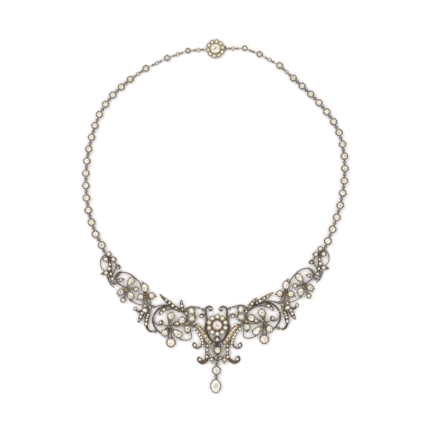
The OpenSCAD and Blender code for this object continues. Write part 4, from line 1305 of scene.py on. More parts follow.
SCROLL = Openwork(
    "scroll", "scroll_section", 42, Lay(0.8, -1.2, -5, (17, -44)),
    shared=Pieces(
        wires=(
            # inner arc of the hoop
            Wire(0.65, 0.65, 0.5, ((13.1, -45.6), (12.75, -43.7), (13.2, -42), (15, -40.3), (17.4, -39),
                (19.8, -38.7), (22, -39.1))),
            # outer arc of the hoop
            Wire(0.6, 0.8, 0.5, ((14, -40.8), (15.7, -39.3), (17.8, -37.9), (20.5, -37.2), (23, -37.4),
                (25.2, -38.3), (27, -40), (28.1, -42.2), (28.2, -44.6), (27.3, -46.8), (25.8, -48.6),
                (24.9, -49.6)), metal=BLACK, lift=0.1),
            # second wire over the hoop
            Wire(0.9, 0.5, 0.45, ((19, -37.8), (21.6, -36.95), (24.3, -36.7), (26.6, -37.1)),
                metal=BLACK, lift=-0.1),
            # stem from the flower to the drop collet, a wire on each side
            Wire(0.5, 0.42, 0.5, ((20.9, -47.2), (20.5, -49.3), (20.3, -52))),
            Wire(0.5, 0.42, 0.5, ((21.3, -47.3), (21.6, -49.3), (22.2, -52.1))),
            # two wires that hold the small collet
            Wire(0.6, 0.5, 0.5, ((21, -46.2), (19.6, -45.8), (18.5, -45.1), (17.8, -44.4))),
            Wire(0.5, 0.5, 0.5, ((19.8, -45.9), (18.4, -46.4), (17, -46.7), (16.3, -45.9))),
            # inner curl and its stem
            Wire(0.6, 0.5, 0.45, ((28.1, -43), (27, -44.8), (25.4, -45.6), (24.1, -45.2), (23.8, -44),
                (24.6, -43.3))),
            Wire(0.5, 0.42, 0.42, ((21.6, -46.1), (22.8, -45.9), (24.2, -45.4))),
            # leaf inside the top of the hoop
            Wire(1.1, 1.4, 0.35, ((21.4, -38.4), (23, -38.9), (24.4, -39.8), (25.1, -41.3)), GUTTER, SILVER),
            # square loop
            Wire(0.45, 0.45, 0.5, ((11.8, -48.6), (11.6, -50.6), (11.6, -52.2), (12, -53), (12.9, -53.25),
                (14.7, -53.3), (16.5, -52.8), (17.6, -51.9))),
            # knot
            Wire(0.8, 1.4, 0.7, ((11.7, -45.9), (13.2, -45.9), (14.9, -46.2), (16.5, -46.5)),
                RIDGE, OLIVE, 0.15),
            # arch at the top, with its bar and its column
            Wire(0.6, 0.65, 0.7, ((6.5, -39.55), (7.6, -39.1), (9.2, -38.8), (10.8, -38.6), (12.4, -39.1),
                (13.4, -40.1), (13.9, -41.2))),
            Wire(0.6, 0.55, 0.6, ((8.7, -38.9), (9.2, -40.2), (9.4, -41.8), (9, -43.3), (9.1, -44.7),
                (10.3, -45.6), (12.2, -45.9))),
        ),
        seats=(
            Seat(19.9, -41.85, -70, 1.42, 1.42, 0, 4.4),
            Seat(17.4, -50.3, 44, 1.6, 1.45, 2.9, 4.7),
            Seat(23.4, -49.2, 123, 1.36, 1.36, 0, 3),
            disc(21, -53.8, 1.64, wall=0.55), disc(17.4, -45.5, 0.62, wall=0.45), disc(24.9, -44.4, 0.58),
            disc(22.9, -38.8, 0.65), disc(15.2, -44.25, 1.42),
            Seat(13.1, -48.3, -80, 1.3, 1.3, 0, 2.6),
            Seat(10.5, -40.4, 80, 1.2, 0.95, metal=SILVER),
            disc(10.6, -43.8, 1.12, metal=SILVER),
        ),
        paves=(
            Pave(12.9, -41.3, 0.42, 0.2), Pave(8.6, -42.4, 0.36), Pave(9.2, -44.6, 0.34),
            Pave(24.2, -39.9, 0.42), Pave(13.2, -53.25, 0.3), Pave(8.4, -39.0, 0.28),
            Pave(27.7, -41.3, 0.28),
        ),
    ),
    own={
        Side.RIGHT: Pieces(
            wires=(
                # lance leaf
                Wire(1.6, 1.75, 0.35, ((17.4, -37.7), (19.5, -36.3), (21.8, -34.9), (23.6, -33.8),
                    (25.1, -32.7)), GUTTER, SILVER),
                # upright leaf
                Wire(0.6, 2.1, 0.35, ((13.9, -40.6), (14.7, -38.9), (15.8, -37.4), (17.5, -35.1)),
                    GUTTER, SILVER),
            ),
            seats=(
                disc(19.1, -36.6, 0.63), disc(21, -35.4, 0.55), disc(15.45, -37.8, 0.63),
            ),
            paves=(Pave(22.55, -34.45, 0.38), Pave(17.75, -37.45, 0.36), Pave(14.6, -39.2, 0.34),
                   Pave(16.35, -36.6, 0.34)),
        ),
        Side.LEFT: Pieces(
            wires=(
                Wire(0.9, 1.8, 0.35, ((15.5, -40.4), (16.7, -39.3), (18.6, -37.5), (20.5, -35.7),
                    (22.5, -33.8), (24.2, -31.5)), GUTTER),
                Wire(0.8, 1.8, 0.35, ((14.5, -40.5), (14.6, -38.9), (14.8, -37.2), (14.7, -34.9)), GUTTER),
            ),
            seats=(
                disc(18.7, -37.3, 0.63), disc(20.1, -35.9, 0.55), disc(14.75, -37.8, 0.63),
            ),
            paves=(Pave(21.5, -34.67, 0.4), Pave(17.34, -38.65, 0.4), Pave(14.54, -39.4, 0.36),
                   Pave(14.78, -36.4, 0.34)),
        ),
    },
    bosses=(Boss(21.2, -46.6, 0.95), Boss(12.6, -41.2, 0.7)),
    beads=((20.3, -44.9, 0.35), (22.6, -47.6, 0.35), (19.5, -47.9, 0.35)),
    behind=(2, 3), ahead=(0, 1),
)

SPRAY = Openwork(
    "spray", "spray_section", 35, Lay(1.7, -1.4, -4.3, (34, -32)),
    shared=Pieces(
        wires=(
            # tip over the trefoil's upper collet
            Wire(1, 0.75, 0.35, ((31, -28.2), (31.4, -27.4), (31.9, -26.5)), RIDGE),
            # necks of the trefoil's two lower collets
            Wire(0.9, 0.8, 0.9, ((28.8, -33), (29.8, -32.6), (30.8, -32.4)), metal=OLIVE),
            Wire(0.9, 0.8, 0.9, ((32.2, -33), (31.4, -32.7), (30.6, -32.4)), metal=OLIVE),
            # nubs beyond those two collets
            Wire(0.8, 0.6, 0.4, ((26.8, -33.4), (26.3, -33.6), (25.7, -33.9))),
            Wire(0.8, 0.6, 0.4, ((33.8, -33.9), (34.5, -34.3), (35.2, -34.7))),
            # left, middle and right wires of the stem
            Wire(1.1, 0.85, 0.6, ((30.3, -33), (29.2, -35.2), (28.9, -37.8), (29.2, -40.4), (30, -42.6),
                (30.5, -44.8), (31, -47)), metal=OLIVE),
            Wire(0.8, 0.6, 0.7, ((30.4, -33.2), (30.2, -35.4), (30.3, -37.6), (30.3, -39.6), (30.7, -41.5)),
                lift=-0.25),
            Wire(1, 0.75, 0.7, ((30.9, -33), (31.7, -35), (31.9, -37.2), (32.4, -39), (33.3, -40.4)),
                metal=OLIVE),
            # long leaf
            Wire(1.3, 1.9, 0.9, ((30.3, -40.6), (30.8, -42.8), (31.3, -45), (31.6, -47)), GUTTER),
            # side leaf with its second tip
            Wire(1.4, 1.9, 0.35, ((32.6, -40.2), (33.3, -42), (34.1, -43.4), (35.1, -45)), GUTTER),
            Wire(1, 0.9, 0.35, ((33.3, -41.8), (33.3, -42.8), (33.1, -43.8))),
            # curl at the stem's foot
            Wire(0.9, 0.95, 0.6, ((31.3, -46.6), (31, -48), (29.9, -49.2), (28.6, -49.3)), metal=BLACK),
            # ring curl's stem
            Wire(0.7, 0.85, 0.9, ((32.7, -39.4), (33.7, -39.9), (34.5, -40), (35.3, -39.4)), metal=BLACK),
            # thin wire from the stem to the medium flower
            Wire(0.42, 0.42, 0.42, ((31.9, -37.3), (33.6, -36.9), (35.4, -36.2), (37.2, -35.1))),
            # hoop of the medium flower
            Wire(0.55, 0.55, 0.7, ((32.1, -29.2), (32.5, -28), (33.3, -26.5), (34.8, -24.8), (36.6, -23.1),
                (38.8, -22.1), (41.2, -21.9), (42.9, -23.1), (43.5, -24.8), (42.9, -26.4), (41.3, -27.6),
                (39.6, -29))),
            # stem of the small round collet, and the necks of the oval and the right petals
            Wire(0.8, 0.7, 0.8, ((35.5, -29.7), (37, -29.45), (39, -29.3)), metal=OLIVE),
            Wire(1.1, 0.9, 1.1, ((38, -31.4), (38.6, -30.5), (39.2, -29.6)), metal=OLIVE),
            Wire(0.9, 0.8, 0.9, ((40.8, -30.2), (40, -29.9), (39.2, -29.5)), metal=OLIVE),
            # nubs beyond the right petal
            Wire(0.8, 0.55, 0.4, ((42.6, -30.8), (43.2, -31), (43.9, -31.4))),
            Wire(0.8, 0.55, 0.4, ((42.2, -31.5), (42.6, -32.1), (42.9, -32.7))),
            # tip under the oval
            Wire(1.6, 1.1, 0.4, ((37.5, -33.8), (37.4, -34.8), (37.3, -35.5)), RIDGE),
            # wire to the small ring collet
            Wire(0.7, 0.5, 0.6, ((39.5, -29.8), (39.7, -31.4), (40.4, -33.4))),
            # leaf inside the hoop
            Wire(0.9, 1.2, 0.4, ((43.3, -25.2), (42, -25.3), (40.8, -25.2), (39.6, -24.8)), GUTTER, SILVER),
        ),
        seats=(
            Seat(30.8, -29.5, 90, 1.7, 1.33),
            disc(27.9, -33.25, 1.2), disc(33, -33.5, 1.2),
            Seat(31.5, -39.6, 20, 1.08, 0.83),
            disc(32.95, -40.8, 0.58), disc(33.6, -42.3, 0.66), disc(31.05, -43.9, 0.56),
            disc(31.45, -45.7, 0.66),
            Seat(36.6, -25.9, -50, 1.45, 1.3, 2.5, 3.8),
            disc(34.75, -29.8, 0.77, wall=0.46),
            Seat(37.4, -32.55, 80, 1.6, 1.25),
            disc(41.7, -30.65, 1.22), disc(41, -34.3, 0.78, wall=0.47), disc(41.1, -25.2, 0.55),
        ),
        paves=(
            Pave(31.5, -37.6, 0.4), Pave(29.1, -38.3, 0.34), Pave(30.3, -41.7, 0.38),
            Pave(30.7, -42.75, 0.4), Pave(34.35, -43.75, 0.36), Pave(42.2, -25.3, 0.34),
            Pave(29.3, -35.6, 0.3),
        ),
    ),
    own={
        # broad part of the hoop
        Side.LEFT: Pieces(wires=(
            Wire(0.4, 1.4, 0.6, ((40.6, -21.6), (41.8, -22.1), (42.9, -23.1), (43.6, -24.4)), RIDGE, BLACK),
        )),
        Side.RIGHT: Pieces(wires=(
            Wire(0.4, 0.9, 0.6, ((40.6, -21.9), (41.9, -22.5), (42.9, -23.7), (43.6, -25.2)), RIDGE, BLACK),
        )),
    },
    bosses=(Boss(30.7, -32.4, 1), Boss(39.2, -29.3, 0.95)),
    beads=((30, -33.9, 0.34), (31.5, -33.9, 0.34), (40.1, -28.3, 0.3)),
    behind=(4,), ahead=(2, 3), curl=(35.8, -38.65, 1, 0.6),
)

SPRIG = Openwork(
    "sprig", "end_sprig", 35, Lay(2.45, -2.3, -2, (46, -19)),
    shared=Pieces(
        wires=(
            # stem
            Wire(1.3, 1.5, 1.1, ((46.1, -15.4), (45.9, -18), (45.8, -20.6), (45.4, -23), (45, -25.4)),
                GUTTER),
            # wire at its left, with the small curl
            Wire(0.7, 0.6, 0.5, ((44, -16), (43.3, -17.6), (43.3, -19.2), (43.9, -20.8), (44.8, -22.4))),
            Wire(0.6, 0.5, 0.42, ((43.4, -20), (43, -18.6), (42, -18.3), (41.2, -19.2), (41.8, -20.2))),
            # wire at its right, down to the foot
            Wire(0.7, 0.65, 0.6, ((46.7, -20), (46.8, -22), (47, -23.8), (46.4, -25.4), (45.2, -25.9))),
            # side loop
            Wire(0.55, 0.45, 0.42, ((47.6, -13.6), (48.9, -14.1), (49.9, -15.6), (50.1, -17.6),
                (49.7, -19.4), (48.8, -20.5), (47.8, -21.2))),
            # neck of the loop and of the top collet
            Wire(0.8, 0.7, 0.7, ((46.2, -14.4), (47, -14.1), (47.9, -13.6))),
            # nubs beyond the three round petals
            Wire(0.9, 0.7, 0.4, ((43.3, -15.6), (42.9, -15.6), (42.5, -15.6))),
            Wire(0.9, 0.7, 0.4, ((48.5, -15.5), (48.9, -15.45), (49.3, -15.4))),
            Wire(1.2, 0.9, 0.4, ((48.4, -21.7), (49.3, -21.9), (50.3, -22.1)), RIDGE, BLACK),
            # tail
            Wire(0.7, 0.5, 0.4, ((46.6, -24.8), (46.2, -26.4), (45.3, -27.6), (44.2, -28.4))),
        ),
        seats=(
            disc(46.2, -13.1, 0.86), disc(44.2, -15.6, 0.86), disc(47.7, -15.5, 0.86),
            disc(45.9, -17.9, 0.53), disc(46.2, -19.8, 0.68), disc(45, -24.4, 0.63), disc(47.7, -21.6, 0.83),
            disc(42.3, -19.3, 0.45),
        ),
        paves=(Pave(45.6, -22.1, 0.46), Pave(46.75, -22.8, 0.28), Pave(43.4, -18.4, 0.26)),
    ),
    bosses=(Boss(46.1, -15.2, 0.9),),
    left_bloom=DARK,
    ahead=(4,),
)

COUPLINGS = {
    Side.RIGHT: (
        Coupling(5.4, -39.95, 25, 0.9, 0.8),
        Coupling(11.05, -46.95, 35, 0.9, 0.9, OLIVE),
        Coupling(27.55, -37.4, 0, 0.7, 0.6),
        Coupling(27.5, -48.9, -12, 1.1, 0.9),
        Coupling(44.3, -26.75, -15, 0.9, 0.8),
    ),
    Side.LEFT: (
        Coupling(-6.6, -40.5, 150, 0.9, 0.9),
        Coupling(-11.5, -47.55, 150, 0.9, 0.9, OLIVE),
        Coupling(-28.85, -39.16, 180, 0.6, 0.6),
        Coupling(-28.05, -50.3, 180, 1.1, 0.7),
        Coupling(-46.4, -28.8, 185, 0.6, 0.9),
    ),
}
DROP_JOINTS = (Coupling(-0.35, -65, -95, 0.5, 0.6), Coupling(-0.6, -70.6, -93, 0.6, 0.6))


def wreath(middle: Place, radius: float, stone_r: float, start: float, count: int) -> tuple[Seat, ...]:
    """Sets equal collets in a ring.

    Args:
        middle: The middle of the ring.
        radius: Its radius.
        stone_r: The half width of each stone.
        start: The heading of the first collet, in degrees.
        count: How many there are.

    Returns:
        The collets.
    """
    x, y = middle
    return tuple(
        Seat(x + radius * math.cos(a), y + radius * math.sin(a), math.degrees(a), stone_r, stone_r,
             metal=OLIVE)
        for a in (math.radians(start + 360 * i / count) for i in range(count))
    )


@dataclass
class CentreSection:
    """The middle of the front: the round cluster, the two arms and the scrolls under them."""

    stone_r: float = 1.95
    wreath_r: float = 3.85
    wreath_stone_r: float = 0.88
    count: int = 10
    plate_r: float = 2.95
    middle: Place = (0.0, -47.5)
    seeds: tuple[int, int, int] = (3, 5, 8)

    def build(self, finishes: Finishes) -> None:
        """Makes the metal and the stones.

        Args:
            finishes: The finishes.
        """
        place = shift(CENTRE_AXIS, 0.0)
        halves = ((Side.RIGHT, place), (Side.LEFT, place @ MIRROR))
        centre = disc(*self.middle, self.stone_r, metal=OLIVE)
        cluster = Pieces(seats=wreath(self.middle, self.wreath_r, self.wreath_stone_r, 90, self.count))
        line = Pieces(seats=CENTRE_LINE_SEATS)
        bench = MetalBench()
        bench.collet(centre, place)
        bench.pieces(cluster, place)
        bench.pieces(line, place)
        for boss in CENTRE_BOSSES:
            bench.boss(boss, place)
        self._plate(bench, place @ shift(*self.middle))
        for side, there in halves:
            bench.pieces(CENTRE, there)
            bench.pieces(CENTRE_OWN[side], there)
            for coupling in COUPLINGS[side][:2]:
                bench.eye(*coupling.eye(False))
        bench.eye(*DROP_JOINTS[0].eye(False))
        bench.finish("centre_metal", "centre_section", "silver", *finishes.metals)
        middle, ring, rest = (StoneBench(seed) for seed in self.seeds)
        middle.stone(centre, place)
        middle.finish("centre_cut_stone", "centre_stone", "blush_stone", finishes.blush)
        ring.pieces(cluster, place)
        ring.finish("centre_cluster_cut_stones", "centre_cluster_stones", "stone", finishes.stone)
        rest.pieces(line, place)
        for side, there in halves:
            rest.pieces(CENTRE, there)
            rest.pieces(CENTRE_OWN[side], there)
        rest.finish("centre_scroll_cut_stones", "centre_scroll_stones", "stone", finishes.stone)

    def _plate(self, bench: MetalBench, there: Matrix) -> None:
        """Adds the round plate under the cluster, and the claws between its collets.

        Args:
            bench: The bench to work on.
            there: The place of the cluster.
        """
        inner = self.stone_r + WALL - 0.1
        profile = ((inner, FOOT), (self.plate_r, FOOT), (self.plate_r, 1.3), (inner, 1.45))
        bench.cast(spun(profile, PLATE_STEPS), there)
        spots = ((2.68, 1.2, 0.16), (2.64, 1.9, 0.18), (2.55, 2.27, 0.17), (2.38, 2.42, 0.08))
        bench.claws_round(spots, (turn + math.pi / 2 for turn in turns(self.count, 0.5)), there, SILVER)


def loose_stones(node: str) -> list[tuple[Vector, float]]:
    """Finds the round stones of a node, in millimetres, in the frame of the tables.

    Args:
        node: The node.

    Returns:
        The middle and the half width of each stone.
    """
    copy = bmesh.new()
    copy.from_mesh(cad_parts[node].data)
    bmesh.ops.remove_doubles(copy, verts=copy.verts, dist=1e-6)
    bmesh.ops.transform(copy, matrix=TO_FRAME.inverted(), verts=copy.verts)
    left = set(copy.verts)
    found = []
    while left:
        todo, island = [left.pop()], []
        while todo:
            vert = todo.pop()
            island.append(vert)
            for edge in vert.link_edges:
                other = edge.other_vert(vert)
                if other in left:
                    left.remove(other)
                    todo.append(other)
        low = Vector([min(vert.co[k] for vert in island) for k in range(3)])
        high = Vector([max(vert.co[k] for vert in island) for k in range(3)])
        middle = (low + high) / 2
        found.append((middle, max((vert.co.xy - middle.xy).length for vert in island)))
    copy.free()
    return found


@dataclass
class ColletChain:
    """One side of the chain of collets, linked by rings, with the back chain that follows it.

    The slack is how far the rings of the back chain reach into each other. The last eye stands so far
    from the edge of the last collet, and every eye's bar bites a little into its wall. A lip is how far
    the metal reaches over the edge of a stone, which is drawn so much smaller.
    """

    side: Side
    sprig_joint: Place
    open_ring_r: float = 0.85
    back_ring_r: float = 0.75
    slack: float = 0.4
    last_eye: float = 0.5
    bite: float = 0.1
    lip: float = 0.13
    back_lip: float = 0.18
    back_tone: float = -0.15
    seed: int = 50
    back_seed: int = 60
    rows: list[Seat] = field(init=False)
    back: list[Seat] = field(init=False)

    def __post_init__(self) -> None:
        """Reads the places of the collets from the frame, those of the chain from the back to the front."""
        self.rows = self._read("chain", self.lip, CHAIN_RIM)[::-1]
        self.back = self._read("back", self.back_lip, RIM)

    def _read(self, part: str, lip: float, rim: float) -> list[Seat]:
        """Finds the collets of one part by its stones, from the front to the back.

        Args:
            part: The part, as its node of stones has it.
            lip: How far the metal reaches over each stone.
            rim: The height of the rims.

        Returns:
            The collets.
        """
        found = sorted(loose_stones(f"{part}_stones_{self.side.word}"), key=lambda item: item[0].y)
        return [disc(c.x, c.y, r - lip, rim=rim, wall=WALL + lip) for c, r in found]

    def build(self, finishes: Finishes) -> None:
        """Makes the chain of collets and its stones.

        Args:
            finishes: The finishes.
        """
        bench = MetalBench()
        spots = [*(seat.spot for seat in self.rows), Vector(self.sprig_joint)]
        for i, seat in enumerate(self.rows):
            way = spots[i + 1] - seat.spot
            half = way.length / 2 if seat is not self.rows[-1] else seat.edge + RING_R + self.last_eye
            bench.collet(seat)
            bench.flat_ring(*(seat.spot + way.normalized() * half), RING_R)
            self._ring_eye(bench, seat, way, half)
            if i > 0:
                way = spots[i - 1] - seat.spot
                self._ring_eye(bench, seat, way, way.length / 2)
        self.add_flat_eye(bench, self.rows[0], self.back[0])
        word = self.side.word
        bench.finish(f"collet_chain_metal_{word}", f"collet_chain_{word}", "silver", *finishes.metals)
        stones = StoneBench(self.seed + self.side.value)
        for seat in self.rows:
            stones.stone(seat)
        stones.finish(f"chain_cut_stones_{word}", f"chain_stones_{word}", "stone", finishes.stone)

    def _ring_eye(self, bench: MetalBench, seat: Seat, way: Vector, half: float) -> None:
        """Adds the upright eye of a collet through the near side of a ring.

        Args:
            bench: The bench to work on.
            seat: The collet.
            way: The way from the collet's middle over the ring.
            half: The length of that way up to the ring's middle.
        """
        at = seat.spot + (half - RING_R) * way.normalized()
        there = shift(*at, LINK_Z) @ turned(math.atan2(way.y, way.x) + math.pi)
        bench.eye(there, half - RING_R - seat.edge + self.bite)

    def sprig_eye(self) -> Eye:
        """Places the eye of the end sprig through the far side of the last ring.

        Returns:
            The place of the eye, the reach of its bar, and its metal.
        """
        last = self.rows[-1]
        way = Vector(self.sprig_joint) - last.spot
        out = last.edge + 2 * RING_R + self.last_eye
        at = last.spot + out * way.normalized()
        return shift(*at, LINK_Z) @ turned(math.atan2(way.y, way.x)), way.length - out, LINK

    def build_back(self, finishes: Finishes, clasp: Seat) -> None:
        """Makes the back chain and its stones.

        Args:
            finishes: The finishes.
            clasp: The clasp, as a seat whose wall reaches its edge.
        """
        bench = MetalBench()
        rows = [self.rows[0], *self.back, clasp]
        for before, seat, after in zip(rows, rows[1:], rows[2:]):
            bench.collet(seat)
            self.add_flat_eye(bench, seat, before)
            self.add_flat_eye(bench, seat, after)
        for a, b in zip(rows, rows[1:]):
            self._span(bench, a, b)
        word = self.side.word
        bench.finish(f"back_chain_metal_{word}", f"back_chain_{word}", "silver", *finishes.metals)
        stones = StoneBench(self.back_seed + self.side.value)
        for seat in self.back:
            stones.stone(seat, tone=self.back_tone)
        stones.finish(f"back_cut_stones_{word}", f"back_stones_{word}", "stone", finishes.pale)

    @property
    def _three(self) -> float:
        """Half of a span of three rings, without its post."""
        return EYE_ARM + 2 * self.back_ring_r - self.slack + self.open_ring_r

    def _post(self, free: float) -> float:
        """The length of the posts of a span, by its free length."""
        return free / 2 - (self._three if free > 2 * self._three else EYE_ARM + self.back_ring_r)

    def add_flat_eye(self, bench: MetalBench, a: Seat, b: Seat, out: float = 0.0) -> None:
        """Adds the flat eye of one collet towards another.

        Args:
            bench: The bench to work on.
            a: The collet that has the eye.
            b: The other collet.
            out: How far outside the first collet's edge the post starts.
        """
        turn = math.atan2(b.y - a.y, b.x - a.x)
        bench.flat_eye(a.x, a.y, turn, a.edge + out, self._post(a.free(b)) - out)

    def _span(self, bench: MetalBench, a: Seat, b: Seat) -> None:
        """Adds the rings between two collets: three, or one where the way is short.

        Args:
            bench: The bench to work on.
            a: The collet at one end.
            b: The collet at the other end.
        """
        way = b.spot - a.spot
        turn = math.atan2(way.y, way.x)
        middle = (a.spot + b.spot) / 2 + way.normalized() * (a.edge - b.edge) / 2
        if a.free(b) > 2 * self._three:
            bench.flat_ring(*middle, self.open_ring_r, GOLD)
            for sign in (-1, 1):
                at = middle + sign * (self.open_ring_r + self.back_ring_r - self.slack) * way.normalized()
                bench.upright_ring(*at, turn, self.back_ring_r)
        else:
            bench.upright_ring(*middle, turn, self.back_ring_r)


@dataclass
class Clasp:
    """The round cluster clasp: box, wreath, middle stone, and the tongue that slides in."""

    x: float = -0.95
    y: float = 76.75
    stone_r: float = 1.98
    small_r: float = 0.75
    wreath_r: float = 3.25
    edge: float = 4.2
    turn: float = 81
    count: int = 10
    tongue_heading: float = 3
    tongue_l: float = 3.0
    tongue_half: float = 1.0
    tongue_eye: float = 0.4
    seed: int = 71

    @property
    def row(self) -> Seat:
        """The clasp as a seat whose wall reaches its edge."""
        return disc(self.x, self.y, self.edge - WALL)

    @property
    def _ahead(self) -> Matrix:
        """The place of the clasp, turned the way that the tongue points."""
        return shift(self.x, self.y) @ turned(math.radians(self.tongue_heading))

    def build(self, finishes: Finishes, left: ColletChain, right: ColletChain) -> None:
        """Makes the clasp, its tongue and its stones.

        Args:
            finishes: The finishes.
            left: The chain whose eye is soldered to the box.
            right: The chain whose eye is on the tongue.
        """
        at = shift(self.x, self.y)
        r, inner = self.wreath_r, self.stone_r
        small = wreath((self.x, self.y), r, self.small_r, self.turn, self.count)
        middle = disc(self.x, self.y, inner, rim=CLASP_RIM, metal=GOLD)
        bench = MetalBench()
        bench.cast(spun((
            (0.0, 0.0), (r - 0.05, 0.0), (r + 0.35, 0.14), (r + 0.35, 0.5), (r + 0.2, 1.2), (r - 0.1, 1.8),
            (r - 0.5, 2.12), (inner + 0.36, 2.12), (inner + 0.3, 1.5), (0.0, 1.4),
        ), PLATE_STEPS), at, OLIVE)
        for seat in (*small, middle):
            bench.collet(seat)
        spots = ((r + 0.5, 0.9, 0.2), (r + 0.42, 1.7, 0.2), (r + 0.3, 2.25, 0.17), (r + 0.15, 2.38, 0.08))
        headings = (math.radians(self.turn + 360 * i / self.count) for i in range(self.count))
        bench.claws_round(spots, (a + math.pi / self.count for a in headings), at, GOLD)
        self._mouth(bench)
        left.add_flat_eye(bench, self.row, left.back[-1])
        bench.finish("clasp_box_metal", "clasp_frame", "gold", *finishes.metals)
        self._tongue(finishes, right)
        stones = StoneBench(self.seed)
        for seat in (middle, *small):
            stones.stone(seat)
        stones.finish("clasp_cut_stones", "clasp_stones", "stone", finishes.stone)

    def _mouth(self, bench: MetalBench) -> None:
        """Adds the two lips of the mouth that takes the tongue.

        Args:
            bench: The bench to work on.
        """
        for up in (0.3, 1.3):
            lip = leaning(((0.0, -1.35, 0.5), (0.0, -1.2, 0.6), (0.0, 1.2, 0.6), (0.0, 1.35, 0.5)), 8)
            size = Matrix.Diagonal((0.55, 1.0, 0.3, 1.0))
            shape = shift(self.edge - 0.25, 0.0, up) @ size @ turned(math.pi / 2, "X")
            bench.cast(lip, self._ahead @ shape, GOLD)

    def _tongue(self, finishes: Finishes, right: ColletChain) -> None:
        """Makes the folded tongue with its eye.

        Args:
            finishes: The finishes.
            right: The chain that it belongs to.
        """
        half, thick = self.tongue_half, 0.09
        outline = ((-half, 0.0), (half, 0.0), (half, thick), (-half, thick))
        out, start = self.edge + 0.75, self.edge - self.tongue_l + 0.1
        fold = (
            (out, 0.88), (start + 0.3, 0.92), (start + 0.05, 0.86), (start, 0.8), (start + 0.05, 0.74),
            (start + 0.3, 0.71), (out, 0.71),
        )
        bench = MetalBench()
        bench.cast(sweep(outline, upright(fold)), self._ahead, GOLD)
        right.add_flat_eye(bench, self.row, right.back[-1], self.tongue_eye)
        bench.finish("clasp_tongue_metal", "clasp_tongue", "gold", *finishes.metals)


@dataclass
class Drop:
    """The drop: a round stone, and under it an oval one, each in its own collet."""

    round_at: Place = (-0.45, -67.8)
    round_r: float = 1.6
    oval_at: Place = (-0.85, -74.8)
    oval_w: float = 2.04
    oval_l: float = 2.79
    wall: float = 0.4
    tone: float = -0.04
    seed: int = 23

    def build(self, finishes: Finishes) -> None:
        """Makes both collets, their rings and their stones.

        Args:
            finishes: The finishes.
        """
        upper = disc(*self.round_at, self.round_r, rim=CHAIN_RIM, wall=self.wall)
        lower = Seat(*self.oval_at, 90, self.oval_l, self.oval_w, rim=CHAIN_RIM, wall=self.wall)
        first, second = DROP_JOINTS
        for word, seat, eyes in (
            ("upper", upper, (first.eye(True), second.eye(False))),
            ("lower", lower, (second.eye(True),)),
        ):
            bench = MetalBench()
            bench.collet(seat)
            for eye in eyes:
                bench.eye(*eye)
            bench.finish(f"drop_{word}_metal", f"drop_{word}_collet", "silver", *finishes.metals)
        for word, seat in (("upper", upper), ("lower", lower)):
            stones = StoneBench(self.seed)
            stones.stone(seat, tone=self.tone)
            stones.finish(f"drop_{word}_cut_stone", f"drop_{word}_stone", "stone", finishes.pale)
        build_rings("drop_ring_metal", "drop_rings", DROP_JOINTS, finishes)


def build_rings(name: str, node: str, joints: Iterable[Coupling], finishes: Finishes) -> None:
    """Makes the jump rings of some couplings.

    Args:
        name: The name of the piece.
        node: The node that it stands for.
        joints: The couplings.
        finishes: The finishes.
    """
    rings = MetalBench()
    for joint in joints:
        rings.flat_ring(joint.x, joint.y, RING_R, joint.metal)
    rings.finish(name, node, "silver", *finishes.metals)


# The studio


@dataclass(frozen=True)
class Lamp:
    """A soft lamp: place and size in metres, power in watts, and colour."""

    name: str
    place: Triple
    size: float
    power: float
    colour: Triple

    def hang(self) -> None:
        """Hangs the lamp, turned to the middle of the scene."""
        data = bpy.data.lights.new(self.name, "AREA")
        data.size, data.energy, data.color = self.size, self.power, self.colour
        lamp = put_in_scene(self.name, data)
        lamp.location = self.place
        lamp.rotation_euler = Vector(self.place).to_track_quat("Z", "Y").to_euler()


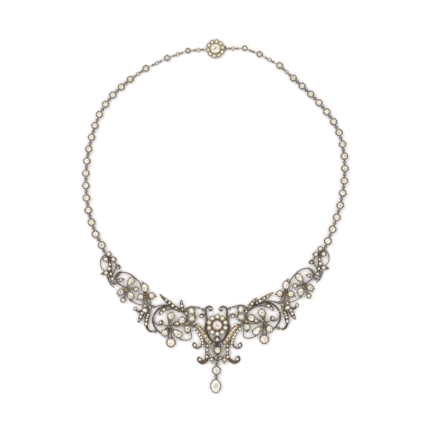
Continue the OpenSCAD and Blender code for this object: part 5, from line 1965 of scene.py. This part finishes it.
@dataclass
class Studio:
    """The pale floor, the soft light and the camera straight above."""

    field_width: float = 0.1944
    centre: Place = (0.000295, 0.000045)
    height: float = 1.2
    sensor: float = 36.0
    under: float = 0.00002
    sky: Triple = (0.965, 0.94, 0.99)
    sky_strength: float = 0.74
    lamps: tuple[Lamp, ...] = (
        Lamp("key lamp", (-0.45, 0.45, 0.9), 0.5, 4.0, (1.0, 0.97, 0.92)),
        Lamp("right lamp", (0.5, 0.4, 0.9), 0.5, 2.2, (1.0, 0.98, 0.94)),
        Lamp("left lamp", (-0.5, -0.4, 0.9), 0.5, 2.0, (1.0, 0.98, 0.94)),
        Lamp("low lamp", (0.45, -0.5, 0.9), 0.5, 1.8, (1.0, 0.98, 0.94)),
    )

    def build(self) -> None:
        """Sets everything up."""
        self._floor()
        self._sky()
        for lamp in self.lamps:
            lamp.hang()
        self._camera()
        bpy.context.scene.view_settings.view_transform = "Standard"

    def _floor(self) -> None:
        """Lays the floor just under the necklace."""
        sheet = bmesh.new()
        bmesh.ops.create_grid(sheet, x_segments=8, y_segments=8, size=2.0)
        bmesh.ops.translate(sheet, vec=(0.0, 0.0, -self.under), verts=sheet.verts)
        data = bpy.data.meshes.new("floor")
        sheet.to_mesh(data)
        sheet.free()
        floor = put_in_scene("floor", data)
        material, desk, shader = start_material("pale card")
        grain = desk.ramp(desk.noise(700.0, 3.0), (0.3, (0.92, 0.92, 0.915)), (0.7, (0.94, 0.94, 0.935)))
        desk.feed(shader, {"Roughness": 0.9, "Specular IOR Level": 0.1, "Base Color": grain})
        data.materials.append(material)

    def _sky(self) -> None:
        """Lights the scene evenly from all round."""
        world = bpy.data.worlds.new("soft sky")
        world.use_nodes = True
        back = world.node_tree.nodes["Background"]
        back.inputs["Color"].default_value = (*self.sky, 1.0)
        back.inputs["Strength"].default_value = self.sky_strength
        bpy.context.scene.world = world

    def _camera(self) -> None:
        """Puts the camera straight above, with a long lens."""
        data = bpy.data.cameras.new("camera above")
        data.sensor_width = self.sensor
        data.lens = self.sensor * self.height / self.field_width
        data.clip_start, data.clip_end = 0.05, 10.0
        camera = put_in_scene("camera above", data)
        camera.location = (*self.centre, self.height)
        bpy.context.scene.camera = camera


def main() -> None:
    """Builds the necklace and the studio in order."""
    logging.basicConfig(level=logging.INFO, format="%(name)s: %(message)s")
    finishes = Finishes.make()
    Studio().build()
    chains = {
        Side.LEFT: ColletChain(Side.LEFT, (-50.5, -15.8)),
        Side.RIGHT: ColletChain(Side.RIGHT, (48.1, -13.6)),
    }
    CentreSection().build(finishes)
    for side, chain in chains.items():
        SCROLL.build(side, finishes)
        SPRAY.build(side, finishes)
        SPRIG.build(side, finishes, chain.sprig_eye())
        rings = (f"joining_ring_metal_{side.word}", f"joining_rings_{side.word}")
        build_rings(*rings, COUPLINGS[side], finishes)
    clasp = Clasp()
    for chain in chains.values():
        chain.build(finishes)
        chain.build_back(finishes, clasp.row)
    clasp.build(finishes, chains[Side.LEFT], chains[Side.RIGHT])
    Drop().build(finishes)


if __name__ == "__main__":
    main()
